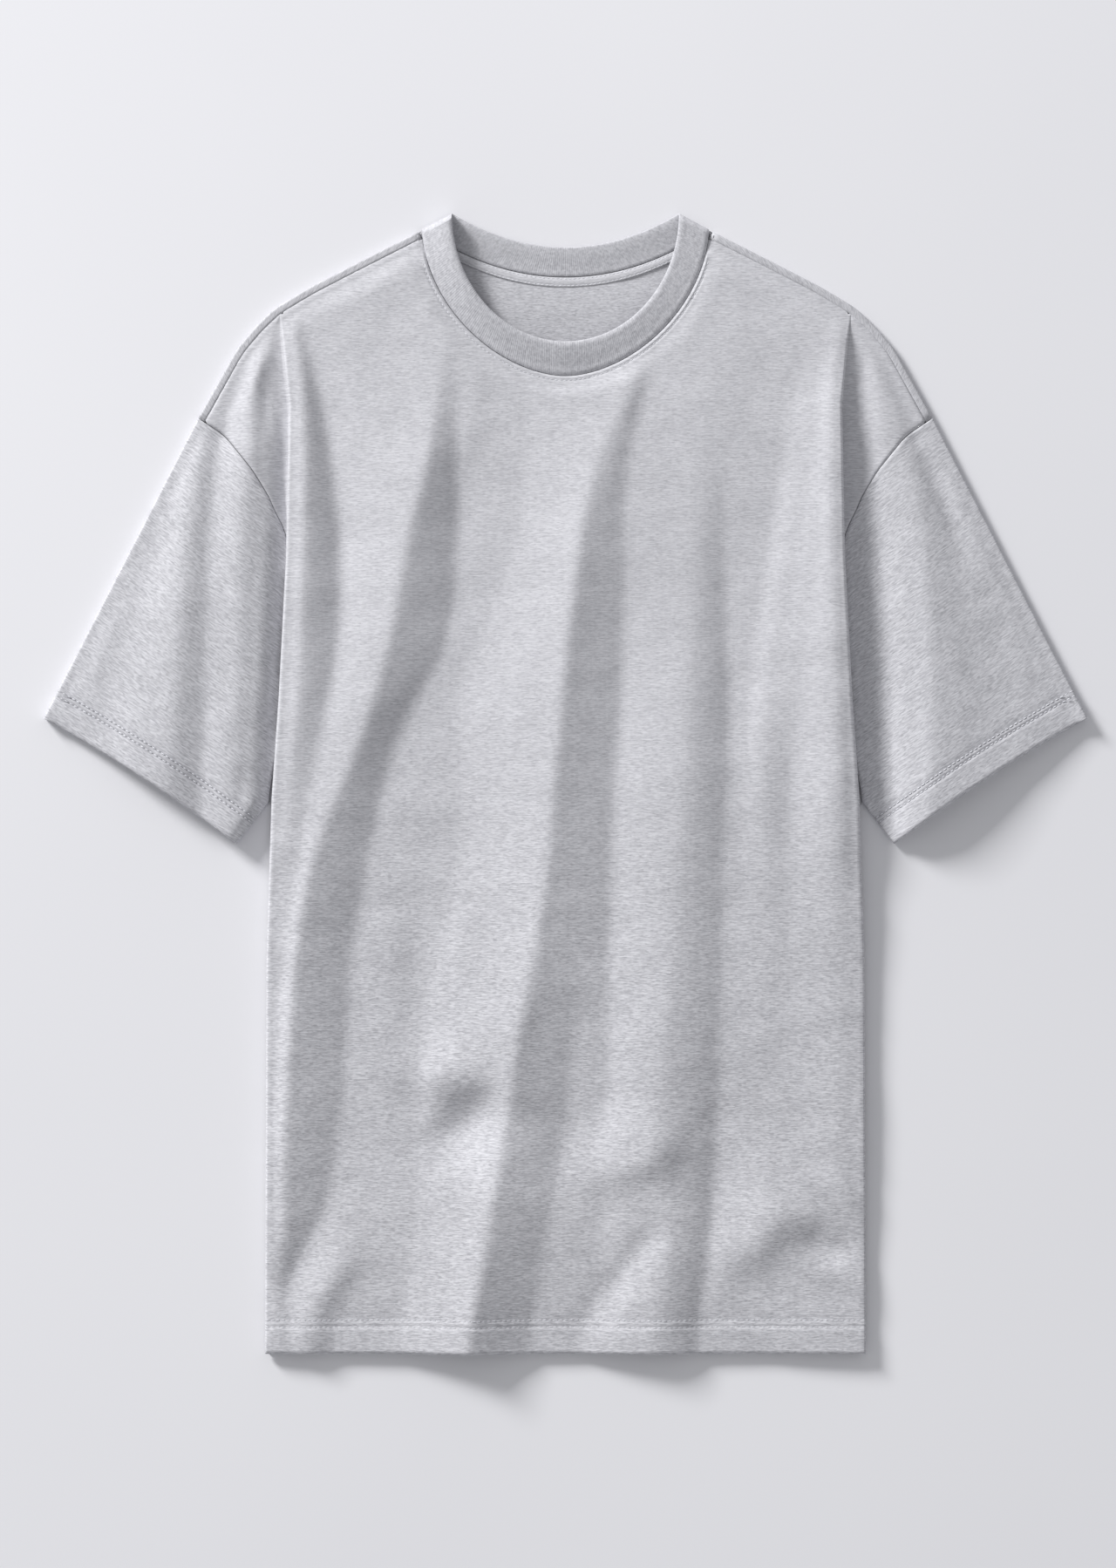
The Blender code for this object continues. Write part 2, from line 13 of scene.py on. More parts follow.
import bmesh
import bpy
import numpy as np
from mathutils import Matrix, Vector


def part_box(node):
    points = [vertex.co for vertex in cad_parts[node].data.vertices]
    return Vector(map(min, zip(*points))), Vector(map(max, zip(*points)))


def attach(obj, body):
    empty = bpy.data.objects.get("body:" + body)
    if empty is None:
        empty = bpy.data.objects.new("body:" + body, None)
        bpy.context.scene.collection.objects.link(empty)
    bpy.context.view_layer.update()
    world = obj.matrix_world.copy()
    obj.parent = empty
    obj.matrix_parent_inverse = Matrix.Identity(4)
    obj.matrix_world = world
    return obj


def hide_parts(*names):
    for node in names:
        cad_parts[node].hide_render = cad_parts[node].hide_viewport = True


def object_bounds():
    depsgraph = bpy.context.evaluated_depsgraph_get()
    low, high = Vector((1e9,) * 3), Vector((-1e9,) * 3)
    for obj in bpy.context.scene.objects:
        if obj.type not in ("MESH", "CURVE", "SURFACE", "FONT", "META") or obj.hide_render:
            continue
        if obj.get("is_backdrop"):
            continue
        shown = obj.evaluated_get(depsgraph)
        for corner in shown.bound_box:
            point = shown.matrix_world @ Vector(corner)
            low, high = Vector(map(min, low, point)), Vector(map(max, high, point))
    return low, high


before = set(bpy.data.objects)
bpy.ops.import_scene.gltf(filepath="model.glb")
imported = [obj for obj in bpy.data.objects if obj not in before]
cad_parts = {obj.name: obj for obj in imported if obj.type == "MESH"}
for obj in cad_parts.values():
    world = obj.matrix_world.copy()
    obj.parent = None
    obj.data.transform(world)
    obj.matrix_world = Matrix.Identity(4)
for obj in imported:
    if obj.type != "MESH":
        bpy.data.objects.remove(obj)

Array = np.ndarray
MM = 0.001
# Middle of the chest: outward normals point away from it.
CHEST_CENTRE = (0.0, 150.0)
# How far thread stands on the cloth, how high a seam's welt is, and half the gap of a seam.
THREAD_LIFT = 0.12
WELT_HEIGHT = 0.2
HALF_GAP = 0.15
LOG = logging.getLogger("crew_neck")


class Side(Enum):
    """Side of the shirt, as the sign of X."""

    LEFT = -1
    RIGHT = 1


# ---------------------------------------------------------------- plane geometry


def smooth(value: Array | float) -> Array:
    """Ease from 0 to 1."""
    value = np.clip(value, 0.0, 1.0)
    return value * value * (3.0 - 2.0 * value)


def shares_of(path: Array) -> Array:
    """Share of a polyline's length at each of its points."""
    steps = np.linalg.norm(np.diff(path, axis=0), axis=1)
    length = np.concatenate(([0.0], np.cumsum(steps)))
    return length / length[-1]


def along(path: Array | tuple, share: Array | float) -> Array:
    """Points at the given shares (0 to 1) of a polyline's length."""
    path = np.asarray(path, float)
    return np.stack([np.interp(share, shares_of(path), path[:, i]) for i in range(path.shape[1])], axis=-1)


def rounded(path: Array | tuple, count: int, reach: float = 0.04) -> Array:
    """Even points along a polyline whose corners are softened.

    Args:
        path: Corner points of the line.
        count: Number of points to return.
        reach: Share of the length over which a corner is softened.

    Returns:
        The softened points, with both ends kept.
    """
    cells = 400
    fine = along(path, np.linspace(0.0, 1.0, cells + 1))
    span = max(1, int(reach * cells))
    extended = np.concatenate([2 * fine[0] - fine[span:0:-1], fine, 2 * fine[-1] - fine[-2:-span - 2:-1]])
    kernel = np.hanning(2 * span + 1)
    kernel /= kernel.sum()
    soft = [np.convolve(column, kernel, mode="valid") for column in extended.T]
    return along(np.stack(soft, axis=-1), np.linspace(0.0, 1.0, count))


def mirrored(path: Array | tuple) -> Array:
    """The same path on the left of the shirt."""
    return np.asarray(path, float) * (-1.0, 1.0)


def edge_normals(path: Array) -> Array:
    """Unit normals of a path that point away from the middle of the shirt."""
    tangent = np.gradient(path, axis=0)
    normal = unit(np.stack([tangent[:, 1], -tangent[:, 0]], axis=-1))
    outward = np.sign(np.sum(normal * (path - np.array(CHEST_CENTRE)), axis=1, keepdims=True))
    return normal * outward


def nearest(points: Array, path: Array, count: int = 240) -> tuple[Array, Array, Array]:
    """Measure points against a path.

    Args:
        points: Points of shape (..., 2).
        path: Corner points of the path.
        count: Number of places along the path that are tried.

    Returns:
        The distance to the path, the side it is taken on (positive on the left of the
        path's direction), and the share of the path's length at the nearest place.
    """
    shares = np.linspace(0.0, 1.0, count)
    fine = along(path, shares)
    tangent = np.gradient(fine, axis=0)
    flat = points.reshape(-1, 2)
    distance, side, share = np.empty((3, len(flat)))
    batch = 4000
    for start in range(0, len(flat), batch):
        block = slice(start, start + batch)
        offset = flat[block, None] - fine[None]
        square = np.einsum("ijk,ijk->ij", offset, offset)
        index = square.argmin(axis=1)
        rows = np.arange(len(index))
        distance[block] = np.sqrt(square[rows, index])
        chosen = offset[rows, index]
        side[block] = tangent[index, 0] * chosen[:, 1] - tangent[index, 1] * chosen[:, 0]
        share[block] = shares[index]
    shape = points.shape[:-1]
    return distance.reshape(shape), np.sign(side).reshape(shape), share.reshape(shape)


def patch(bottom: Array, top: Array, left: Array, right: Array, shares: Array) -> Array:
    """Fill a four-sided outline with a grid whose rows run from the bottom to the top."""
    u = np.linspace(0.0, 1.0, len(bottom))[None, :, None]
    v = shares[:, None, None]
    grid = (1 - v) * bottom[None] + v * top[None] + (1 - u) * left[:, None] + u * right[:, None]
    low = (1 - u) * bottom[0] + u * bottom[-1]
    high = (1 - u) * top[0] + u * top[-1]
    return grid - (1 - v) * low - v * high


def bell(distance: Array, width: float) -> Array:
    """A soft bump, 1 at no distance and near 0 beyond twice its width."""
    return np.exp(-(distance / width) ** 2)


def unit(vectors: Array) -> Array:
    """Vectors brought to unit length."""
    return vectors / np.linalg.norm(vectors, axis=-1, keepdims=True)


def numbered(grid: Array, start: int = 0) -> Array:
    """Vertex numbers of a grid of points, counted row by row from a start."""
    return start + np.arange(grid.shape[0] * grid.shape[1]).reshape(grid.shape[:2])


# ---------------------------------------------------------------- sizes of the shirt


@dataclass(frozen=True)
class Layout:
    """Outline of the laid shirt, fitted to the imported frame's boxes."""

    hem_y: float
    tip: tuple[float, float]
    peak: tuple[float, float]
    cuff_outer: tuple[float, float]
    cuff_inner: tuple[float, float]
    rib_front_y: float = 303.8
    rib_back_y: float = 369.0
    neckline_y: float = 280.0
    neck_point: tuple[float, float] = (98.7, 381.0)
    corner: tuple[float, float] = (197.0, 327.0)
    underarm: tuple[float, float] = (204.0, -13.0)
    side_fold: tuple = (
        (-392, 206.5), (-120, 205.5), (-12, 202), (60, 197), (155, 192), (260, 190), (327, 197),
    )
    shoulder_middle: tuple = (
        (101.5, 379.5), (141, 359.5), (175, 342), (200, 327), (213, 314.5), (226, 299),
    )
    armhole_middle: tuple = (
        (234, 239), (214.5, 215), (203, 196), (196.5, 178), (195, 150), (199.5, 60),
    )
    tuck: float = 7.0
    tuck_start: float = 192.0
    tuck_fade: float = 40.0
    underarm_fade: float = 60.0
    neckline_power: float = 1.8
    back_seam_y: float = 348.6
    back_seam_power: float = 2.05

    @classmethod
    def from_frame(cls) -> "Layout":
        """Read the hem, shoulder tips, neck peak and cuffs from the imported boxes."""
        front_low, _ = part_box("front_panel")
        _, back_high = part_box("back_panel")
        _, rib_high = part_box("neck_rib")
        sleeve_low, sleeve_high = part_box("sleeve_right")
        return cls(
            hem_y=front_low[1] / MM,
            tip=(back_high[0] / MM, 251.4),
            peak=(78.0, rib_high[1] / MM),
            cuff_outer=(sleeve_high[0] / MM, 45.0),
            cuff_inner=(225.9, sleeve_low[1] / MM),
        )

    def half_width(self, height: Array | float) -> Array:
        """Half width of the laid body at a distance up the shirt."""
        rows = np.array(self.side_fold, float)
        return np.interp(height, rows[:, 0], rows[:, 1])

    def shoulder(self, count: int, inset: float = 0.0) -> Array:
        """Right shoulder edge from the neck to the armhole, moved in by an inset."""
        path = rounded(self.shoulder_middle + (self.tip,), count, 0.05)
        return path - inset * edge_normals(path)

    def armhole(self, count: int) -> Array:
        """Right armhole seam from the shoulder tip down to the underarm."""
        return rounded((self.tip,) + self.armhole_middle + (self.underarm,), count, 0.03)

    def sewn_armhole(self, count: int) -> Array:
        """Right armhole seam as it lies, drawn in under the body's side fold lower down."""
        hole = self.armhole(count)
        drawn = smooth((self.tuck_start - hole[:, 1]) / self.tuck_fade)
        drawn *= smooth((hole[:, 1] - self.underarm[1]) / self.underarm_fade)
        return hole - np.stack([self.tuck * drawn, 0 * drawn], axis=-1)

    def neckline(self, share: Array) -> Array:
        """Front neck seam from the left neck point (0) round to the right one (1)."""
        angle = math.pi * (1.0 - np.asarray(share, float))
        exponent = 2.0 / self.neckline_power
        x = self.neck_point[0] * np.sign(np.cos(angle)) * np.abs(np.cos(angle)) ** exponent
        drop = self.neck_point[1] - self.neckline_y
        return np.stack([x, self.neck_point[1] - drop * np.abs(np.sin(angle)) ** exponent], axis=-1)

    def rib_front(self, share: Array) -> Array:
        """Free edge of the rib at the front, from the left peak (0) to the right one (1)."""
        angle = math.pi * (1.0 - np.asarray(share, float))
        drop = self.peak[1] - self.rib_front_y
        return np.stack([self.peak[0] * np.cos(angle), self.peak[1] - drop * np.sin(angle)], axis=-1)

    def rib_back(self, share: Array) -> Array:
        """Free edge of the rib at the back, from the right peak (0) to the left one (1)."""
        across = 1.0 - 2.0 * np.asarray(share, float)
        y = self.rib_back_y + (self.peak[1] - self.rib_back_y) * across ** 2
        return np.stack([self.peak[0] * across, y], axis=-1)

    def back_seam(self, share: Array) -> Array:
        """Back neck seam from the right neck point (0) to the left one (1)."""
        across = np.linspace(1.0, -1.0, 241)
        rise = (self.neck_point[1] - self.back_seam_y) * np.abs(across) ** self.back_seam_power
        return along(np.stack([self.neck_point[0] * across, self.back_seam_y + rise], axis=-1), share)


# ---------------------------------------------------------------- folds and wrinkles


@dataclass(frozen=True)
class FoldLine:
    """A crest or crease that runs up the shirt.

    rows holds: distance up the shirt, x, height of the cloth's face above the surface.
    sharp is 0 for a round crest and 1 or more for a creased foot.
    """

    name: str
    sharp: float
    rows: tuple


@dataclass(frozen=True)
class Wrinkle:
    """A local ridge (or trough, with a negative height) along a short path of x, y points.

    left_reach and right_reach are how far its slopes run on either side of the path.
    """

    name: str
    height: float
    left_reach: float
    right_reach: float
    path: tuple
    taper: float = 0.35


BODY_FOLDS = (
    FoldLine("left_edge", 0.6, (
        (-392, -200, 7.5), (-300, -200.5, 9), (-180, -200, 11), (-60, -196, 12), (0, -194, 13),
        (120, -187, 14), (180, -184, 14), (240, -183, 12.5), (280, -183, 10.5), (330, -195, 5),
    )),
    FoldLine("left_ridge", 0.5, (
        (-392, -198, 7.8), (-300, -199, 9.5), (-180, -197.5, 11.5), (-60, -192, 13), (0, -190, 14.5),
        (60, -183, 16), (120, -182, 17), (180, -181, 16.5), (240, -181, 15), (280, -182, 13),
        (305, -186, 10), (330, -192, 6.5),
    )),
    FoldLine("left_hollow", 1.2, (
        (-392, -196, 8), (-240, -196.5, 12), (-120, -190.5, 13), (-60, -184, 13), (0, -174, 13),
        (60, -162, 10), (90, -156, 8.5), (120, -154, 7), (160, -154, 5.2), (198, -157, 5),
        (222, -161, 5.2), (258, -167, 5.5), (282, -173, 6), (305, -180, 6.2), (330, -188, 6.2),
    )),
    FoldLine("left_pleat_crest", 0.85, (
        (-392, -194, 7), (-361, -196, 7.5), (-330, -197, 9.5), (-301, -196, 12.5), (-241, -195, 15),
        (-181, -193, 17.4), (-121, -188, 17.6), (-61, -177, 16.8), (-25, -165, 15.5), (5, -149, 16),
        (59, -131, 16), (119, -116, 17.5), (179, -106, 18.5), (209, -97, 18), (239, -91, 16),
        (280, -86, 10.5), (330, -84, 8.5),
    )),
    FoldLine("left_pleat_crease", 1.3, (
        (-392, -186, 6), (-361, -192, 6), (-336, -191, 5.5), (-316, -180, 5), (-297, -164, 5),
        (-265, -160, 5), (-217, -153, 5.5), (-151, -149, 4.8), (-121, -148, 4.8), (-61, -138, 4.8),
        (-1, -126, 5.6), (35, -118, 5.6), (53, -111, 5.8), (68, -96, 5.8), (89, -84, 5.2),
        (119, -76, 4.8), (179, -74, 6.2), (240, -75, 9.5), (280, -74, 9.5), (330, -74, 8.5),
    )),
    FoldLine("middle_foot", 0.7, (
        (-392, -118, 6.5), (-361, -113, 6), (-301, -101, 8), (-241, -100, 5.2), (-181, -101, 5),
        (-121, -89, 5.5), (-61, -71, 5.5), (-1, -71, 5), (59, -77, 5), (119, -50, 5.5), (179, -30, 9),
        (240, -29, 9), (330, -28, 9),
    )),
    FoldLine("middle_crest", 1.25, (
        (-392, -68, 20), (-361, -62, 21.5), (-301, -52, 22), (-241, -42, 20), (-181, -34, 21.5),
        (-121, -22, 21), (-61, -12, 20.5), (-1, -8, 21), (59, -2, 20.5), (119, 4, 21), (179, 12, 20.5),
        (221, 22, 17), (251, 31, 13), (275, 38, 10.5), (295, 44, 9.5), (330, 48, 8),
    )),
    FoldLine("middle_inner_crease", 1.0, (
        (-392, -24, 6), (-361, -22, 7.5), (-301, -11, 11), (-241, 0, 6.5), (-181, 4, 11), (-121, 7, 14.2),
        (-61, 11, 15), (-1, 13, 15), (59, 18, 14), (119, 22, 15.2), (179, 26, 16.5), (240, 37, 14),
        (275, 44, 10), (330, 50, 8),
    )),
    FoldLine("middle_crease", 1.3, (
        (-392, 7, 5.5), (-361, 19, 6), (-301, 25, 10), (-241, 29, 8.5), (-181, 31, 9), (-121, 29, 9.5),
        (-61, 32, 9.5), (-1, 33, 9.5), (59, 38, 8), (119, 40, 10), (179, 40, 12), (203, 39, 12),
        (240, 45, 11), (269, 52, 9), (299, 61, 8), (330, 66, 8),
    )),
    FoldLine("right_pleat_crest", 0.3, (
        (-392, 57, 14), (-361, 64, 15.5), (-301, 74, 15), (-241, 62, 15.5), (-181, 69, 17.5),
        (-121, 73, 16.5), (-61, 78, 16), (-1, 81, 17.5), (59, 84, 15.5), (119, 87, 13.2), (179, 86, 12.8),
        (240, 91, 11), (330, 90, 8.5),
    )),
    FoldLine("right_pleat_crease", 1.7, (
        (-392, 90, 6), (-361, 93, 6.5), (-301, 101, 6), (-241, 104, 6), (-181, 106, 9.5), (-61, 108, 10),
        (-1, 111, 10), (59, 113, 7.5), (119, 110, 7.8), (179, 108, 9.5), (240, 112, 10), (330, 112, 8.5),
    )),
    FoldLine("right_rise_foot", 0.9, (
        (-392, 110, 6), (-361, 112, 7), (-301, 118, 8.5), (-241, 120, 6.2), (-181, 124, 9.5),
        (-61, 122, 9.6), (-1, 121, 10.2), (59, 126, 8.5), (119, 133, 9), (179, 142, 9.5), (240, 151, 10),
        (280, 158, 9.5), (330, 165, 8.5),
    )),
    FoldLine("right_rise_top", 0.3, (
        (-392, 133, 6), (-361, 133, 7), (-301, 139, 11), (-241, 133, 6.5), (-181, 136, 9.5),
        (-61, 140, 10.5), (-1, 135, 13), (59, 139, 12.5), (119, 150, 13.5), (179, 160, 14),
        (240, 172, 14), (280, 175, 11), (330, 184, 7.5),
    )),
    FoldLine("right_apron", 0.6, (
        (-392, 152, 7), (-361, 152, 7), (-301, 158, 9), (-241, 150, 8), (-181, 152, 9), (-61, 154, 9.8),
        (-1, 154, 11), (59, 157, 14.5), (119, 164, 16.5), (179, 171, 17), (240, 177, 16), (280, 179, 13),
        (330, 190, 7),
    )),
    FoldLine("right_ridge", 0.1, (
        (-392, 196, 8), (-361, 196, 8), (-301, 192, 8.5), (-241, 188, 10), (-181, 190, 11),
        (-121, 188, 11), (-61, 188, 14.5), (-30, 189, 18.5), (-1, 189.5, 21.5), (30, 189, 22),
        (59, 188, 21.5), (119, 186, 22), (179, 185, 21), (240, 184, 18.5), (280, 184, 14.5),
        (330, 194, 6.5),
    )),
    FoldLine("right_edge", 0.6, (
        (-392, 199, 7.5), (-300, 199, 8), (-240, 199, 9), (-180, 198, 10), (-60, 198, 12.5),
        (0, 196, 19.5), (60, 192, 20), (120, 189, 20.5), (180, 187, 19.5), (240, 186, 17.5),
        (280, 187, 13), (330, 196, 5),
    )),
)

BODY_WRINKLES = (
    Wrinkle("left_tongue_end", 4.6, 14.0, 36.0, (
        (-50, -188), (-66, -202), (-84, -202), (-102, -184),
    ), 0.4),
    Wrinkle("left_tongue_valley", -10.5, 24.0, 19.0, ((-42, -205), (-66, -235), (-98, -258)), 0.45),
    Wrinkle("left_tongue_ledge", -2.6, 9.0, 16.0, ((-84, -216), (-104, -222), (-122, -206)), 0.5),
    Wrinkle("left_tongue_side", -1.6, 14.0, 12.0, ((-104, -60), (-103, -120), (-104, -196))),
    Wrinkle("middle_tongue_end", 5.2, 15.0, 34.0, ((80, -226), (54, -258), (24, -268), (-2, -250)), 0.4),
    Wrinkle("middle_valley", -3.2, 10.0, 10.0, ((70, -296), (40, -335), (16, -373))),
    Wrinkle("left_hem_ridge", 5.0, 13.0, 16.0, (
        (-136, -300), (-157, -334), (-173, -362), (-180, -396), (-184, -430),
    )),
    Wrinkle("right_hem_ridge", 3.8, 13.0, 24.0, ((190, -288), (150, -298), (118, -326), (90, -362))),
    Wrinkle("side_pinch", -3.8, 12.0, 8.0, ((158, -308), (180, -322), (203, -321))),
    Wrinkle("side_pinch_lip", -1.9, 5.0, 6.0, ((172, -342), (187, -351), (204, -363))),
    Wrinkle("side_pinch_high", 1.8, 9.0, 7.0, ((172, -262), (190, -280), (203, -300))),
    Wrinkle("chest_ripple", 0.8, 14.0, 12.0, ((-20, 120), (-34, 60), (-30, 10))),
    Wrinkle("waist_ripple", 0.9, 14.0, 12.0, ((-60, -40), (-72, -110), (-80, -160))),
    Wrinkle("neck_drag_left", 0.9, 7.0, 9.0, ((-58, 290), (-66, 250), (-72, 214))),
    Wrinkle("neck_drag_right", 1.5, 6.0, 8.0, ((55, 292), (45, 268), (38, 240))),
    Wrinkle("yoke_roll", 0.7, 16.0, 16.0, ((120, 330), (112, 270), (108, 210))),
    Wrinkle("left_yoke_roll", 0.8, 12.0, 14.0, ((-150, 320), (-140, 270), (-128, 215))),
)

LEFT_FOLDS = (
    FoldLine("outer_edge", 0.4, (
        (-40, -360, 9), (45, -350, 7), (71, -344, 6), (209, -270, 5.5), (320, -215, 5),
    )),
    FoldLine("outer_band", 0.6, (
        (-40, -340, 10.5), (0, -335, 9), (60, -322, 7.5), (120, -298, 6.5), (180, -278, 5.8),
        (240, -258, 5), (320, -212, 5.5),
    )),
    FoldLine("sleeve_crest", 0.5, (
        (-40, -279, 16.5), (17, -272, 16), (59, -268, 16), (119, -265, 15), (179, -258, 11.5),
        (240, -250, 7), (320, -210, 6),
    )),
    FoldLine("sleeve_crease", 1.2, (
        (-40, -252, 10.5), (17, -249, 10.5), (59, -248, 11), (119, -246, 10.5), (179, -243, 8),
        (240, -238, 4.5), (320, -208, 6),
    )),
    FoldLine("inner_ridge", 0.2, (
        (-40, -231, 13), (60, -227, 14), (150, -223, 13.5), (203, -218, 13), (250, -213, 12),
        (299, -209, 9), (325, -205, 6.5),
    )),
    FoldLine("gully_lip", 0.2, (
        (-40, -219, 11), (23, -216, 11.5), (89, -211, 12), (179, -209, 11), (239, -208, 10),
        (290, -205, 7.6), (325, -204, 6.3),
    )),
    FoldLine("gully", 1.3, (
        (-40, -203, 2.4), (23, -202, 2.4), (60, -198, 2.4), (89, -196, 2.4), (178, -193, 2.8),
        (250, -192, 3.5), (290, -193, 4.4), (325, -198, 5.6),
    )),
    FoldLine("tuck", 0.5, (
        (-40, -188, 2.6), (178, -183, 3.0), (290, -186, 4), (325, -192, 5.5),
    )),
)

LEFT_WRINKLES = (
    Wrinkle("seam_pit", -2.2, 9.0, 8.0, ((-232, 250), (-240, 228)), 0.6),
    Wrinkle("flap_dent", -1.6, 6.0, 6.0, ((-203, 296), (-207, 262), (-204, 235))),
    Wrinkle("flap_ridge", 1.3, 5.0, 7.0, ((-209, 305), (-216, 270), (-222, 240))),
    Wrinkle("sleeve_ripple", 0.9, 10.0, 10.0, ((-300, 130), (-322, 70), (-332, 30))),
    Wrinkle("inner_ripple", -1.2, 9.0, 9.0, ((-236, 150), (-232, 90), (-236, 40))),
    Wrinkle("cuff_ripple", 1.0, 12.0, 12.0, ((-300, 60), (-296, 20), (-300, -10))),
    Wrinkle("underarm_ridge", 1.6, 6.0, 6.0, ((-228, -34), (-216, -14), (-208, 4))),
)

RIGHT_FOLDS = (
    FoldLine("tuck", 0.5, (
        (-40, 190, 3.0), (178, 186, 4.0), (290, 190, 5), (325, 196, 5.5),
    )),
    FoldLine("gully", 0.9, (
        (-40, 206, 3.4), (60, 201, 3.6), (178, 198, 4.2), (250, 199, 4.8), (290, 200, 5.2),
        (325, 200, 5.8),
    )),
    FoldLine("sleeve_foot", 0.8, (
        (-40, 225, 5.5), (20, 221, 5.5), (60, 217, 5.8), (178, 213, 5.5), (210, 210, 5.2),
        (250, 207, 5.2), (300, 206, 5.8), (325, 203, 6),
    )),
    FoldLine("flap_crest", 0.5, (
        (-40, 236, 15), (60, 237, 13.5), (119, 236, 13), (178, 229, 10), (220, 220, 8.5), (260, 216, 8),
        (299, 211, 7), (325, 206, 6.2),
    )),
    FoldLine("sleeve_crest", 0.3, (
        (-40, 250, 18.5), (-1, 250, 18.5), (59, 252, 17), (119, 250, 16), (179, 242, 12), (239, 232, 8),
        (299, 216, 6.5), (325, 209, 6),
    )),
    FoldLine("sleeve_crease", 0.8, (
        (-40, 284, 16.5), (-1, 283, 16), (59, 280, 12.5), (119, 277, 10.5), (167, 268, 8),
        (197, 256, 6.5), (239, 241, 4.8), (299, 219, 5.6), (325, 211, 5.5),
    )),
    FoldLine("outer_rise", 0.6, (
        (-40, 312, 15), (0, 318, 12.5), (59, 308, 9.5), (119, 298, 8), (167, 284, 7), (209, 262, 6.2),
        (251, 248, 5.5), (325, 213, 5.2),
    )),
    FoldLine("outer_edge", 0.5, (
        (-40, 356, 10), (45, 350, 7), (71, 344, 6), (209, 270, 5.5), (320, 215, 5),
    )),
)

RIGHT_WRINKLES = (
    Wrinkle("seam_pit", -2.0, 8.0, 8.0, ((238, 248), (244, 228)), 0.6),
    Wrinkle("flap_dent", -1.4, 5.0, 6.0, ((203, 300), (206, 268))),
    Wrinkle("sleeve_pleat", -2.6, 7.0, 5.0, ((242, 238), (256, 206), (268, 174), (284, 142))),
    Wrinkle("dimple_high", -1.6, 9.0, 9.0, ((286, 138), (297, 126)), 0.8),
    Wrinkle("dimple_low", -1.2, 9.0, 8.0, ((294, 112), (305, 100)), 0.8),
    Wrinkle("sleeve_ripple", 0.9, 10.0, 9.0, ((262, 120), (274, 60), (270, 10))),
)


